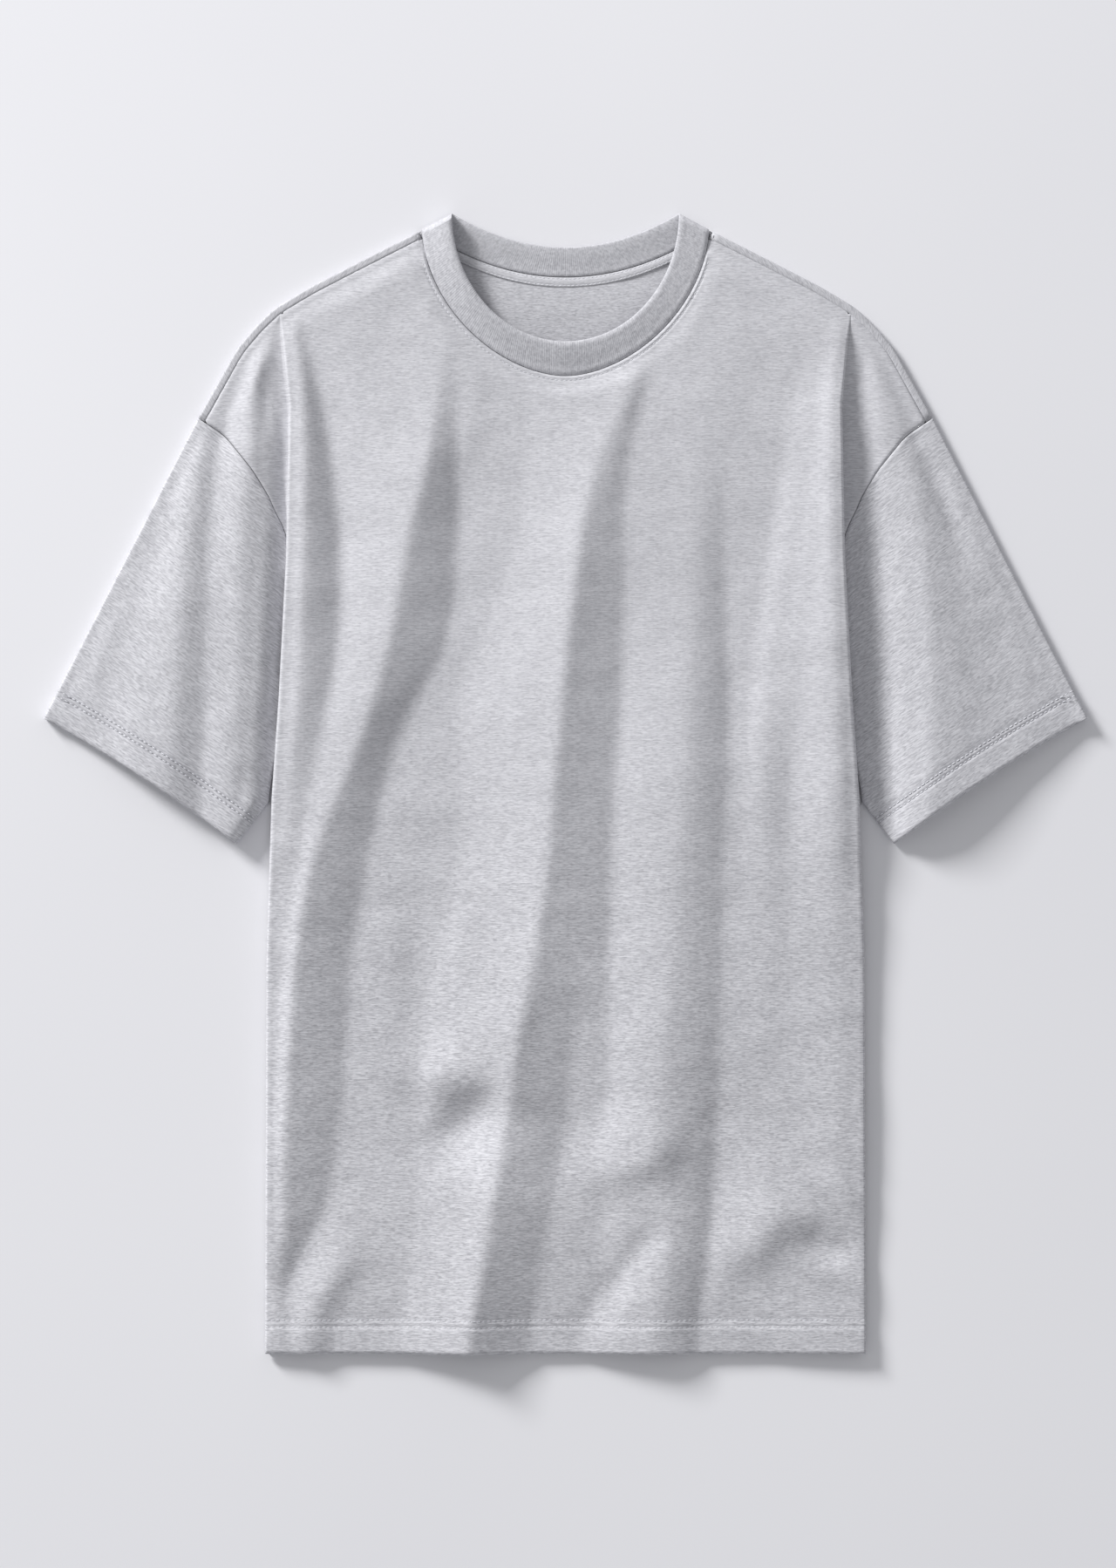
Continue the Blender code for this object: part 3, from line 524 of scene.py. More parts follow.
@dataclass
class Relief:
    """Heights of one region's cloth, from its fold lines, wrinkles and a fine crumple."""

    folds: tuple
    wrinkles: tuple
    x_range: tuple[float, float]
    y_range: tuple[float, float] = (-400.0, 400.0)
    step: float = 1.6
    line_blur: float = 14.0
    soften: float = 2.6
    crumple: float = 0.32
    crumple_sizes: tuple = ((22.0, 11.0, 1.0), (9.0, 6.0, 0.45), (4.0, 3.0, 0.16))
    end_share: float = 0.08
    seed: int = 4
    heights: Array = field(init=False, repr=False)

    def __post_init__(self) -> None:
        """Work the height grid out."""
        self.x = np.arange(self.x_range[0], self.x_range[1] + self.step, self.step)
        self.y = np.arange(self.y_range[0], self.y_range[1] + self.step, self.step)
        self.heights = self._from_folds()
        self._add_wrinkles()
        self.heights = self._blurred(self.heights, self.soften, self.soften)
        self._add_crumple()

    @staticmethod
    def _kernel(width: float) -> Array:
        """Gaussian weights for a blur of a width in cells."""
        reach = max(1, int(3 * width))
        weights = np.exp(-0.5 * (np.arange(-reach, reach + 1) / max(width, 0.01)) ** 2)
        return weights / weights.sum()

    def _blur_axis(self, grid: Array, width: float, axis: int) -> Array:
        """Blur a grid along one axis by a width in millimetres, with its edges held."""
        kernel = self._kernel(width / self.step)
        reach = len(kernel) // 2
        pad = [(0, 0)] * grid.ndim
        pad[axis] = (reach, reach)
        padded = np.pad(grid, pad, mode="edge")
        return np.apply_along_axis(lambda row: np.convolve(row, kernel, mode="valid"), axis, padded)

    def _blurred(self, grid: Array, across: float, up: float) -> Array:
        """Blur a grid by widths in millimetres across and up the shirt."""
        return self._blur_axis(self._blur_axis(grid, across, 1), up, 0)

    def _from_folds(self) -> Array:
        """Join the fold lines across the shirt, round at crests and sharp at creases."""
        line_x, line_z = [], []
        for fold in self.folds:
            rows = np.array(sorted(fold.rows), float)
            line_x.append(self._blur_axis(np.interp(self.y, rows[:, 0], rows[:, 1]), self.line_blur, 0))
            line_z.append(self._blur_axis(np.interp(self.y, rows[:, 0], rows[:, 2]), self.line_blur, 0))
        line_x = np.maximum.accumulate(np.array(line_x), axis=0)
        line_z = np.array(line_z)
        sharp = np.array([fold.sharp for fold in self.folds])
        grid = np.empty((len(self.y), len(self.x)))
        for row in range(len(self.y)):
            after = np.clip(np.searchsorted(line_x[:, row], self.x), 1, len(self.folds) - 1)
            before = after - 1
            span = np.maximum(line_x[after, row] - line_x[before, row], 0.5)
            t = np.clip((self.x - line_x[before, row]) / span, 0.0, 1.0)
            ease = t * t * (3 - 2 * t)
            ease += sharp[before] * (t ** 3 - 2 * t ** 2 + t) + sharp[after] * (t ** 3 - t ** 2)
            grid[row] = line_z[before, row] + (line_z[after, row] - line_z[before, row]) * ease
        return grid

    def _add_wrinkles(self) -> None:
        """Raise or lower the grid along each wrinkle's path."""
        for wrinkle in self.wrinkles:
            path = rounded(wrinkle.path, 40, 0.12)
            reach = 2.4 * max(wrinkle.left_reach, wrinkle.right_reach)
            low, high = path.min(axis=0) - reach, path.max(axis=0) + reach
            columns = np.flatnonzero((self.x > low[0]) & (self.x < high[0]))
            rows = np.flatnonzero((self.y > low[1]) & (self.y < high[1]))
            points = np.stack(np.meshgrid(self.x[columns], self.y[rows]), axis=-1)
            distance, side, share = nearest(points, path, 80)
            width = np.where(side > 0, wrinkle.left_reach, wrinkle.right_reach)
            ends = smooth(share / wrinkle.taper) * smooth((1 - share) / wrinkle.taper)
            ends = self.end_share + (1 - self.end_share) * ends
            rise = wrinkle.height * bell(distance, width) * ends
            self.heights[np.ix_(rows, columns)] += rise

    def _add_crumple(self) -> None:
        """Add a fine seeded crumple, longer across the shirt than up it."""
        random = np.random.default_rng(self.seed)
        for across, up, amount in self.crumple_sizes:
            noise = self._blurred(random.standard_normal(self.heights.shape), across, up)
            self.heights += self.crumple * amount * noise / noise.std()

    def at(self, points: Array) -> Array:
        """Heights at points of shape (..., 2), read between the grid's cells."""
        column = np.clip((points[..., 0] - self.x[0]) / self.step, 0, len(self.x) - 1.001)
        row = np.clip((points[..., 1] - self.y[0]) / self.step, 0, len(self.y) - 1.001)
        i, j = row.astype(int), column.astype(int)
        v, u = row - i, column - j
        low = self.heights[i, j] * (1 - u) + self.heights[i, j + 1] * u
        high = self.heights[i + 1, j] * (1 - u) + self.heights[i + 1, j + 1] * u
        return low * (1 - v) + high * v


# ---------------------------------------------------------------- finishes


class SharedTree:
    """A node tree that is built on first use and then shared."""

    NAME = ""

    @classmethod
    def tree(cls) -> bpy.types.NodeTree:
        """Return the tree, built if it isn't there yet."""
        return bpy.data.node_groups.get(cls.NAME) or cls._build()


class KnitGroup(SharedTree):
    """Shader node group of heather jersey: a streaky tone and the knit's fine height."""

    NAME = "heather_knit"

    @classmethod
    def _build(cls) -> bpy.types.NodeTree:
        """Build the group's sockets and nodes."""
        tree = bpy.data.node_groups.new(cls.NAME, "ShaderNodeTree")
        sockets = (
            ("Vector", "INPUT", "NodeSocketVector"),
            ("Streak Length", "INPUT", "NodeSocketFloat"),
            ("Streak Width", "INPUT", "NodeSocketFloat"),
            ("Loop Pitch", "INPUT", "NodeSocketFloat"),
            ("Tone", "OUTPUT", "NodeSocketFloat"),
            ("Flecks", "OUTPUT", "NodeSocketFloat"),
            ("Knit Height", "OUTPUT", "NodeSocketFloat"),
        )
        for name, direction, kind in sockets:
            tree.interface.new_socket(name=name, in_out=direction, socket_type=kind)
        enter = tree.nodes.new("NodeGroupInput")
        leave = tree.nodes.new("NodeGroupOutput")
        maker = NodeMaker(tree)
        split = tree.nodes.new("ShaderNodeSeparateXYZ")
        tree.links.new(enter.outputs["Vector"], split.inputs[0])
        u, v = split.outputs["X"], split.outputs["Y"]
        length, width = enter.outputs["Streak Length"], enter.outputs["Streak Width"]

        def streaks(longer: float, wider: float, shift: float, detail: float) -> bpy.types.NodeSocket:
            """Noise stretched along the courses of the knit."""
            across = maker.math("DIVIDE", u, maker.math("MULTIPLY", length, longer))
            up = maker.math("DIVIDE", v, maker.math("MULTIPLY", width, wider))
            return maker.noise(maker.vector(across, up, shift), detail)

        long_streaks = streaks(2.4, 1.3, 0.0, 1.0)
        short_streaks = streaks(1.0, 1.0, 7.3, 2.0)
        soft_bands = streaks(9.0, 16.0, 13.1, 2.0)
        fleck_noise = streaks(0.9, 1.1, 21.7, 0.0)
        tone = maker.math("MULTIPLY", long_streaks, 0.36)
        tone = maker.math("ADD", tone, maker.math("MULTIPLY", short_streaks, 0.54))
        tone = maker.math("ADD", tone, maker.math("MULTIPLY", soft_bands, 0.10))
        tree.links.new(maker.spread(tone, 0.30, 0.70), leave.inputs["Tone"])
        flecks = maker.math("MULTIPLY", maker.spread(fleck_noise, 0.58, 0.74), 0.45)
        tree.links.new(flecks, leave.inputs["Flecks"])
        turn = maker.math("DIVIDE", 2 * math.pi, enter.outputs["Loop Pitch"])
        wale = maker.math("SINE", maker.math("MULTIPLY", u, turn))
        lean = maker.math("MULTIPLY", maker.math("ABSOLUTE", wale), 1.6)
        course = maker.math("SINE", maker.math("ADD", maker.math("MULTIPLY", v, turn), lean))
        loops = maker.math("ADD", maker.math("MULTIPLY", wale, 0.3), maker.math("MULTIPLY", course, 0.3))
        fuzz = maker.math("ADD", maker.math("MULTIPLY", short_streaks, 2.4), long_streaks)
        tree.links.new(maker.math("ADD", loops, fuzz), leave.inputs["Knit Height"])
        return tree


@dataclass
class NodeMaker:
    """Short ways to add common nodes to a shader or geometry tree."""

    tree: bpy.types.NodeTree

    def feed(self, value: bpy.types.NodeSocket | float | tuple, socket: bpy.types.NodeSocket) -> None:
        """Link a socket, or set a constant."""
        if isinstance(value, bpy.types.NodeSocket):
            self.tree.links.new(value, socket)
        else:
            socket.default_value = value

    def math(self, operation: str, first: bpy.types.NodeSocket | float,
             second: bpy.types.NodeSocket | float | None = None) -> bpy.types.NodeSocket:
        """A Math node of one or two values."""
        node = self.tree.nodes.new("ShaderNodeMath")
        node.operation = operation
        self.feed(first, node.inputs[0])
        if second is not None:
            self.feed(second, node.inputs[1])
        return node.outputs[0]

    def vector(self, x: bpy.types.NodeSocket | float, y: bpy.types.NodeSocket | float,
               z: bpy.types.NodeSocket | float) -> bpy.types.NodeSocket:
        """A vector of three values."""
        node = self.tree.nodes.new("ShaderNodeCombineXYZ")
        for value, socket in zip((x, y, z), node.inputs):
            self.feed(value, socket)
        return node.outputs[0]

    def noise(self, vector: bpy.types.NodeSocket, detail: float) -> bpy.types.NodeSocket:
        """Smooth noise at a vector."""
        node = self.tree.nodes.new("ShaderNodeTexNoise")
        node.inputs["Scale"].default_value = 1.0
        node.inputs["Detail"].default_value = detail
        self.tree.links.new(vector, node.inputs["Vector"])
        return node.outputs["Fac"]

    def object_noise(self, scale: float) -> bpy.types.NodeSocket:
        """Smooth noise at the piece's Object coordinates."""
        place = self.tree.nodes.new("ShaderNodeTexCoord")
        node = self.tree.nodes.new("ShaderNodeTexNoise")
        node.inputs["Scale"].default_value = scale
        self.tree.links.new(place.outputs["Object"], node.inputs["Vector"])
        return node.outputs["Fac"]

    def spread(self, value: bpy.types.NodeSocket, low: float, high: float) -> bpy.types.NodeSocket:
        """Stretch a value so that low becomes 0 and high becomes 1, with soft ends."""
        node = self.tree.nodes.new("ShaderNodeMapRange")
        node.interpolation_type = "SMOOTHSTEP"
        self.feed(value, node.inputs["Value"])
        node.inputs["From Min"].default_value = low
        node.inputs["From Max"].default_value = high
        return node.outputs["Result"]

    def mix(self, factor: bpy.types.NodeSocket, dark: bpy.types.NodeSocket | tuple,
            light: bpy.types.NodeSocket | tuple) -> bpy.types.NodeSocket:
        """Mix two colours by a factor."""
        node = self.tree.nodes.new("ShaderNodeMix")
        node.data_type = "RGBA"
        self.feed(factor, node.inputs["Factor"])
        self.feed(dark, node.inputs[6])
        self.feed(light, node.inputs[7])
        return node.outputs[2]


def new_material(name: str) -> tuple[bpy.types.Material, bpy.types.Node, NodeMaker]:
    """Start a material, and return it with its shader and a maker for its tree."""
    material = bpy.data.materials.new(name)
    material.use_nodes = True
    return material, material.node_tree.nodes["Principled BSDF"], NodeMaker(material.node_tree)


def new_object(name: str, data: bpy.types.ID) -> bpy.types.Object:
    """Put an object with its data in the scene."""
    piece = bpy.data.objects.new(name, data)
    bpy.context.scene.collection.objects.link(piece)
    return piece


@dataclass(frozen=True)
class KnitFinish:
    """Heather cotton: dark, light and fleck colours, and the scale of its streaks in metres.

    The contrast falls to upper_share over the heights upper_cloth, which are in metres too.
    A sewn groove gets painted shade: its colour darkens towards the fleck colour by painted_groove_shade.
    """

    name: str
    dark: tuple[float, float, float]
    light: tuple[float, float, float]
    fleck: tuple[float, float, float]
    streak_length: float = 0.0030
    streak_width: float = 0.00068
    loop_pitch: float = 0.00075
    upper_cloth: tuple[float, float] = (-0.18, 0.12)
    upper_share: float = 1.0
    painted_groove_shade: float = 0.6
    bump: float = 0.35
    bump_depth: float = 0.00012
    roughness: float = 0.93

    def material(self) -> bpy.types.Material:
        """Return the finish's material, which reads the piece's own UV map in metres."""
        return bpy.data.materials.get(self.name) or self._build()

    def _build(self) -> bpy.types.Material:
        """Build the material's nodes."""
        material, shader, maker = new_material(self.name)
        tree = maker.tree
        uv = tree.nodes.new("ShaderNodeUVMap")
        uv.uv_map = "cloth"
        knit = tree.nodes.new("ShaderNodeGroup")
        knit.node_tree = KnitGroup.tree()
        tree.links.new(uv.outputs["UV"], knit.inputs["Vector"])
        knit.inputs["Streak Length"].default_value = self.streak_length
        knit.inputs["Streak Width"].default_value = self.streak_width
        knit.inputs["Loop Pitch"].default_value = self.loop_pitch
        split = tree.nodes.new("ShaderNodeSeparateXYZ")
        tree.links.new(uv.outputs["UV"], split.inputs[0])
        rise = maker.spread(split.outputs["Y"], *self.upper_cloth)
        contrast = maker.math("ADD", maker.math("MULTIPLY", rise, self.upper_share - 1.0), 1.0)
        tone = maker.math("MULTIPLY", maker.math("SUBTRACT", knit.outputs["Tone"], 0.5), contrast)
        colour = maker.mix(maker.math("ADD", tone, 0.5), self.dark + (1.0,), self.light + (1.0,))
        flecks = maker.math("MULTIPLY", knit.outputs["Flecks"], contrast)
        colour = maker.mix(flecks, colour, self.fleck + (1.0,))
        # Painted shade in sewn grooves: the stored sewn mask darkens the colour towards the fleck colour.
        groove = tree.nodes.new("ShaderNodeAttribute")
        groove.attribute_name = "sewn"
        shade = maker.math("MULTIPLY", groove.outputs["Fac"], self.painted_groove_shade)
        colour = maker.mix(shade, colour, self.fleck + (1.0,))
        tree.links.new(colour, shader.inputs["Base Color"])
        rough = maker.math("MULTIPLY", knit.outputs["Tone"], -0.06)
        tree.links.new(maker.math("ADD", rough, self.roughness), shader.inputs["Roughness"])
        bump = tree.nodes.new("ShaderNodeBump")
        bump.inputs["Strength"].default_value = self.bump
        bump.inputs["Distance"].default_value = self.bump_depth
        tree.links.new(knit.outputs["Knit Height"], bump.inputs["Height"])
        tree.links.new(bump.outputs["Normal"], shader.inputs["Normal"])
        shader.inputs["Specular IOR Level"].default_value = 0.18
        shader.inputs["Sheen Weight"].default_value = 0.12
        shader.inputs["Sheen Roughness"].default_value = 0.55
        return material


@dataclass(frozen=True)
class ThreadFinish:
    """Sewing thread: a plain colour broken up by its twist."""

    name: str
    dark: tuple[float, float, float]
    light: tuple[float, float, float]
    twist_scale: float = 900.0
    roughness: float = 0.75

    def material(self) -> bpy.types.Material:
        """Return the thread's material, on Object coordinates."""
        return bpy.data.materials.get(self.name) or self._build()

    def _build(self) -> bpy.types.Material:
        """Build the material's nodes."""
        material, shader, maker = new_material(self.name)
        tone = maker.spread(maker.object_noise(self.twist_scale), 0.35, 0.65)
        colour = maker.mix(tone, self.dark + (1.0,), self.light + (1.0,))
        maker.feed(colour, shader.inputs["Base Color"])
        shader.inputs["Roughness"].default_value = self.roughness
        return material


BODY_JERSEY = KnitFinish("body_heather", (0.452, 0.450, 0.478), (0.742, 0.740, 0.774), (0.33, 0.329, 0.352),
                         streak_length=0.0038, streak_width=0.00074, upper_share=0.66)
INNER_JERSEY = KnitFinish("inner_heather", (0.445, 0.443, 0.470), (0.675, 0.673, 0.706),
                          (0.34, 0.339, 0.362))
SLEEVE_JERSEY = KnitFinish("sleeve_heather", (0.455, 0.453, 0.481), (0.725, 0.723, 0.757),
                           (0.33, 0.329, 0.352), streak_length=0.0036, streak_width=0.00074)
RIB_KNIT = KnitFinish("rib_heather", (0.475, 0.473, 0.502), (0.640, 0.638, 0.670), (0.38, 0.379, 0.405),
                      streak_length=0.0018, streak_width=0.0018)
TAPE_KNIT = KnitFinish("tape_heather", (0.54, 0.538, 0.568), (0.70, 0.698, 0.73), (0.44, 0.439, 0.465),
                       streak_length=0.003)
SEWING_THREAD = ThreadFinish("sewing_thread", (0.60, 0.602, 0.64), (0.80, 0.802, 0.84))


# ---------------------------------------------------------------- meshes and node trees


def store(mesh: bpy.types.Mesh, name: str, values: Array) -> None:
    """Store a number on each vertex of a mesh."""
    layer = mesh.attributes.new(name, "FLOAT", "POINT")
    layer.data.foreach_set("value", np.asarray(values, np.float32))


def new_cloth(name: str, vertices: Array, faces: list, uv: Array, material: bpy.types.Material,
              wall: float = 0.0, thick: Array | None = None, factor: float = 1.0,
              sewn: Array | None = None) -> bpy.types.Object:
    """Make a cloth piece from its outer face.

    Args:
        name: The piece's name.
        vertices: Points in millimetres.
        faces: Lists of vertex numbers, outer side up.
        uv: Place of each vertex on the flat cloth, in millimetres.
        material: The piece's finish.
        wall: Wall thickness in millimetres, turned inwards, or 0 for a closed form.
        thick: Share of the full wall at each vertex, where it changes.
        factor: Least share of the wall, where thick is 0.
        sewn: How deep each vertex lies in a sewn groove, from 0 to 1, where the piece has one; the finish
            paints shade there by this share.

    Returns:
        The finished object, with its wall applied.
    """
    mesh = bpy.data.meshes.new(name)
    mesh.from_pydata((np.asarray(vertices) * MM).tolist(), [], faces)
    layer = mesh.uv_layers.new(name="cloth")
    corners = np.empty(len(mesh.loops), dtype=np.int32)
    mesh.loops.foreach_get("vertex_index", corners)
    layer.data.foreach_set("uv", (np.asarray(uv)[corners] * MM).astype(np.float32).ravel())
    if sewn is not None:
        store(mesh, "sewn", sewn)
    mesh.materials.append(material)
    piece = new_object(name, mesh)
    if thick is not None:
        group = piece.vertex_groups.new(name="thick")
        for index, weight in enumerate(np.asarray(thick)):
            if weight > 0.01:
                group.add([index], float(weight), "REPLACE")
    bm = bmesh.new()
    bm.from_mesh(mesh)
    bmesh.ops.remove_doubles(bm, verts=bm.verts, dist=0.02 * MM)
    bmesh.ops.dissolve_degenerate(bm, edges=bm.edges, dist=0.005 * MM)
    bm.to_mesh(mesh)
    bm.free()
    mesh.shade_smooth()
    if wall:
        solid = piece.modifiers.new("wall", "SOLIDIFY")
        solid.thickness = wall * MM
        solid.offset = -1.0
        if thick is not None:
            solid.vertex_group = "thick"
            solid.thickness_vertex_group = factor
        bake(piece)
    return piece


def bake(piece: bpy.types.Object) -> None:
    """Replace a piece's mesh by its evaluated one and drop the modifiers."""
    bpy.context.view_layer.update()
    graph = bpy.context.evaluated_depsgraph_get()
    shape = piece.evaluated_get(graph)
    mesh = bpy.data.meshes.new_from_object(shape, preserve_all_data_layers=True, depsgraph=graph)
    old = piece.data
    piece.modifiers.clear()
    piece.data = mesh
    mesh.name = piece.name
    bpy.data.meshes.remove(old)


def grid_faces(index: Array, closed: bool = False, flip: bool = False) -> list:
    """Quads of a grid of vertex numbers, closed round its columns if asked."""
    after = np.roll(index, -1, axis=1)
    last = None if closed else -1
    quads = np.stack([index[:-1, :last], after[:-1, :last], after[1:, :last], index[1:, :last]], axis=-1)
    quads = quads.reshape(-1, 4)
    return (quads[:, ::-1] if flip else quads).tolist()


def set_inputs(modifier: bpy.types.NodesModifier, **values: object) -> None:
    """Set a Geometry Nodes modifier's inputs through their identifiers."""
    for item in modifier.node_group.interface.items_tree:
        if item.item_type == "SOCKET" and item.in_out == "INPUT":
            key = item.name.lower().replace(" ", "_")
            if key in values:
                modifier[item.identifier] = values[key]


class ClothTree(SharedTree):
    """A Geometry Nodes tree that ends by realising its geometry and giving it a finish."""

    @classmethod
    def begin(cls, *inputs: tuple[str, str]) -> tuple[bpy.types.NodeTree, bpy.types.Node]:
        """Start the tree with its named inputs.

        Args:
            inputs: Name and socket kind of each input between the geometry and the finish.

        Returns:
            The tree and its group input node.
        """
        tree = bpy.data.node_groups.new(cls.NAME, "GeometryNodeTree")
        tree.is_modifier = True
        for name, kind in (("Geometry", "NodeSocketGeometry"), *inputs, ("Finish", "NodeSocketMaterial")):
            tree.interface.new_socket(name=name, in_out="INPUT", socket_type=kind)
        tree.interface.new_socket(name="Geometry", in_out="OUTPUT", socket_type="NodeSocketGeometry")
        return tree, tree.nodes.new("NodeGroupInput")

    @staticmethod
    def end(tree: bpy.types.NodeTree, enter: bpy.types.Node, shape: bpy.types.NodeSocket) -> None:
        """End the tree: realise the shape, give it the finish and pass it out."""
        real = tree.nodes.new("GeometryNodeRealizeInstances")
        finish = tree.nodes.new("GeometryNodeSetMaterial")
        leave = tree.nodes.new("NodeGroupOutput")
        tree.links.new(shape, real.inputs["Geometry"])
        tree.links.new(real.outputs["Geometry"], finish.inputs["Geometry"])
        tree.links.new(enter.outputs["Finish"], finish.inputs["Material"])
        tree.links.new(finish.outputs["Geometry"], leave.inputs["Geometry"])


class StitchTree(ClothTree):
    """Geometry Nodes tree that sets thread stitches along a path."""

    NAME = "stitch_row"
    SIZE_RANGE = (0.86, 1.1)

    @classmethod
    def _build(cls) -> bpy.types.NodeTree:
        """Build the tree: path to curve, even points, a stitch on each, realised."""
        tree, enter = cls.begin(("Pitch", "NodeSocketFloat"), ("Length", "NodeSocketFloat"),
                               ("Thread", "NodeSocketFloat"), ("Seed", "NodeSocketInt"))
        nodes, links = tree.nodes, tree.links
        curve = nodes.new("GeometryNodeMeshToCurve")
        even = nodes.new("GeometryNodeResampleCurve")
        even.mode = "LENGTH"
        tangent = nodes.new("GeometryNodeInputTangent")
        turn = nodes.new("FunctionNodeAlignRotationToVector")
        turn.axis = "X"
        stitch = nodes.new("GeometryNodeMeshUVSphere")
        stitch.inputs["Segments"].default_value = 6
        stitch.inputs["Rings"].default_value = 5
        stitch.inputs["Radius"].default_value = 0.5
        vary = nodes.new("FunctionNodeRandomValue")
        vary.inputs[2].default_value, vary.inputs[3].default_value = cls.SIZE_RANGE
        maker = NodeMaker(tree)
        size = maker.vector(maker.math("MULTIPLY", enter.outputs["Length"], vary.outputs[1]),
                            enter.outputs["Thread"], enter.outputs["Thread"])
        place = nodes.new("GeometryNodeInstanceOnPoints")
        links.new(enter.outputs["Geometry"], curve.inputs["Mesh"])
        links.new(curve.outputs["Curve"], even.inputs["Curve"])
        links.new(enter.outputs["Pitch"], even.inputs["Length"])
        links.new(enter.outputs["Seed"], vary.inputs["Seed"])
        links.new(tangent.outputs["Tangent"], turn.inputs["Vector"])
        links.new(even.outputs["Curve"], place.inputs["Points"])
        links.new(stitch.outputs["Mesh"], place.inputs["Instance"])
        links.new(turn.outputs["Rotation"], place.inputs["Rotation"])
        links.new(size, place.inputs["Scale"])
        cls.end(tree, enter, place.outputs["Instances"])
        return tree


class RibTree(ClothTree):
    """Geometry Nodes tree that raises knitted ribs on a band from its stored phase."""

    NAME = "knitted_ribs"

    @classmethod
    def _build(cls) -> bpy.types.NodeTree:
        """Build the tree: each point moves along its normal by the rib's wave."""
        tree, enter = cls.begin(("Depth", "NodeSocketFloat"))
        nodes, links = tree.nodes, tree.links
        maker = NodeMaker(tree)
        stored = []
        for name in ("rib_phase", "rib_share"):
            node = nodes.new("GeometryNodeInputNamedAttribute")
            node.data_type = "FLOAT"
            node.inputs["Name"].default_value = name
            stored.append(node.outputs["Attribute"])
        phase, share = stored
        wave = maker.math("MULTIPLY", maker.math("SINE", phase), enter.outputs["Depth"])
        depth = maker.math("MULTIPLY", wave, share)
        normal = nodes.new("GeometryNodeInputNormal")
        offset = nodes.new("ShaderNodeVectorMath")
        offset.operation = "SCALE"
        links.new(normal.outputs["Normal"], offset.inputs[0])
        links.new(depth, offset.inputs["Scale"])
        move = nodes.new("GeometryNodeSetPosition")
        links.new(enter.outputs["Geometry"], move.inputs["Geometry"])
        links.new(offset.outputs[0], move.inputs["Offset"])
        cls.end(tree, enter, move.outputs["Geometry"])
        return tree


@dataclass(frozen=True)
class StitchRow:
    """A row of stitches: its spacing, stitch length and thread thickness in millimetres."""

    pitch: float = 3.6
    length: float = 2.9
    thread: float = 0.55
    seed: int = 1

    def sew(self, name: str, paths: list) -> bpy.types.Object:
        """Sew stitches along paths of x, y, z points and return the joined piece."""
        vertices, edges = [], []
        for path in paths:
            start = len(vertices)
            vertices.extend((np.asarray(path) * MM).tolist())
            edges.extend((i, i + 1) for i in range(start, start + len(path) - 1))
        mesh = bpy.data.meshes.new(name)
        mesh.from_pydata(vertices, edges, [])
        piece = new_object(name, mesh)
        rows = piece.modifiers.new("stitches", "NODES")
        rows.node_group = StitchTree.tree()
        set_inputs(rows, pitch=self.pitch * MM, length=self.length * MM, thread=self.thread * MM,
                   seed=self.seed, finish=SEWING_THREAD.material())
        bake(piece)
        piece.data.shade_smooth()
        return piece


def ride(piece: bpy.types.Object, slot: str, *nodes: str) -> bpy.types.Object:
    """Put a finished piece on the shirt's one body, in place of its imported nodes."""
    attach(piece, "root")
    if nodes:
        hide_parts(*nodes)
    return piece


# ---------------------------------------------------------------- front body


def raised(plan: Array, level: Array | float) -> Array:
    """Points x, y, z of a plan's points at their heights."""
    heights = np.broadcast_to(level, plan.shape[:-1])
    return np.concatenate([plan, heights[..., None]], axis=-1)


def seam_relief(distance: Array, welt: tuple[float, float], dip: tuple[float, float]) -> Array:
    """Relief beside a seam: the welt of its allowance, then the dip of the seam itself.

    Args:
        distance: Distance from the seam.
        welt: The welt's distance from the seam, and its width.
        dip: The dip's depth and width.

    Returns:
        The height to add.
    """
    return WELT_HEIGHT * bell(distance - welt[0], welt[1]) - dip[0] * bell(distance, dip[1])


def hem_relief(distance: Array, rows: tuple[float, float], puff: float = 0.5, bite: float = 1.0) -> Array:
    """Relief of a turned hem: a soft puff up to two sewn grooves.

    Args:
        distance: Distance from the cloth's edge.
        rows: Distances of the two stitch rows from the edge.
        puff: How far the doubled cloth stands up.
        bite: How hard the sewn rows pull the cloth in.

    Returns:
        The height to add.
    """
    inner, outer = rows
    rise = puff * smooth(distance / 1.5) * (1 - smooth((distance - inner + 1.5) / 2.0))
    ridge = 0.16 * bell(distance - 0.5 * (inner + outer), 1.3)
    groove = -0.32 * bell(distance - inner, 0.9) - 0.28 * bell(distance - outer, 0.9)
    ledge = -0.15 * bell(distance - outer - 1.8, 1.5)
    return rise + bite * (ridge + groove + ledge) - 0.9 * bell(distance, 1.0)


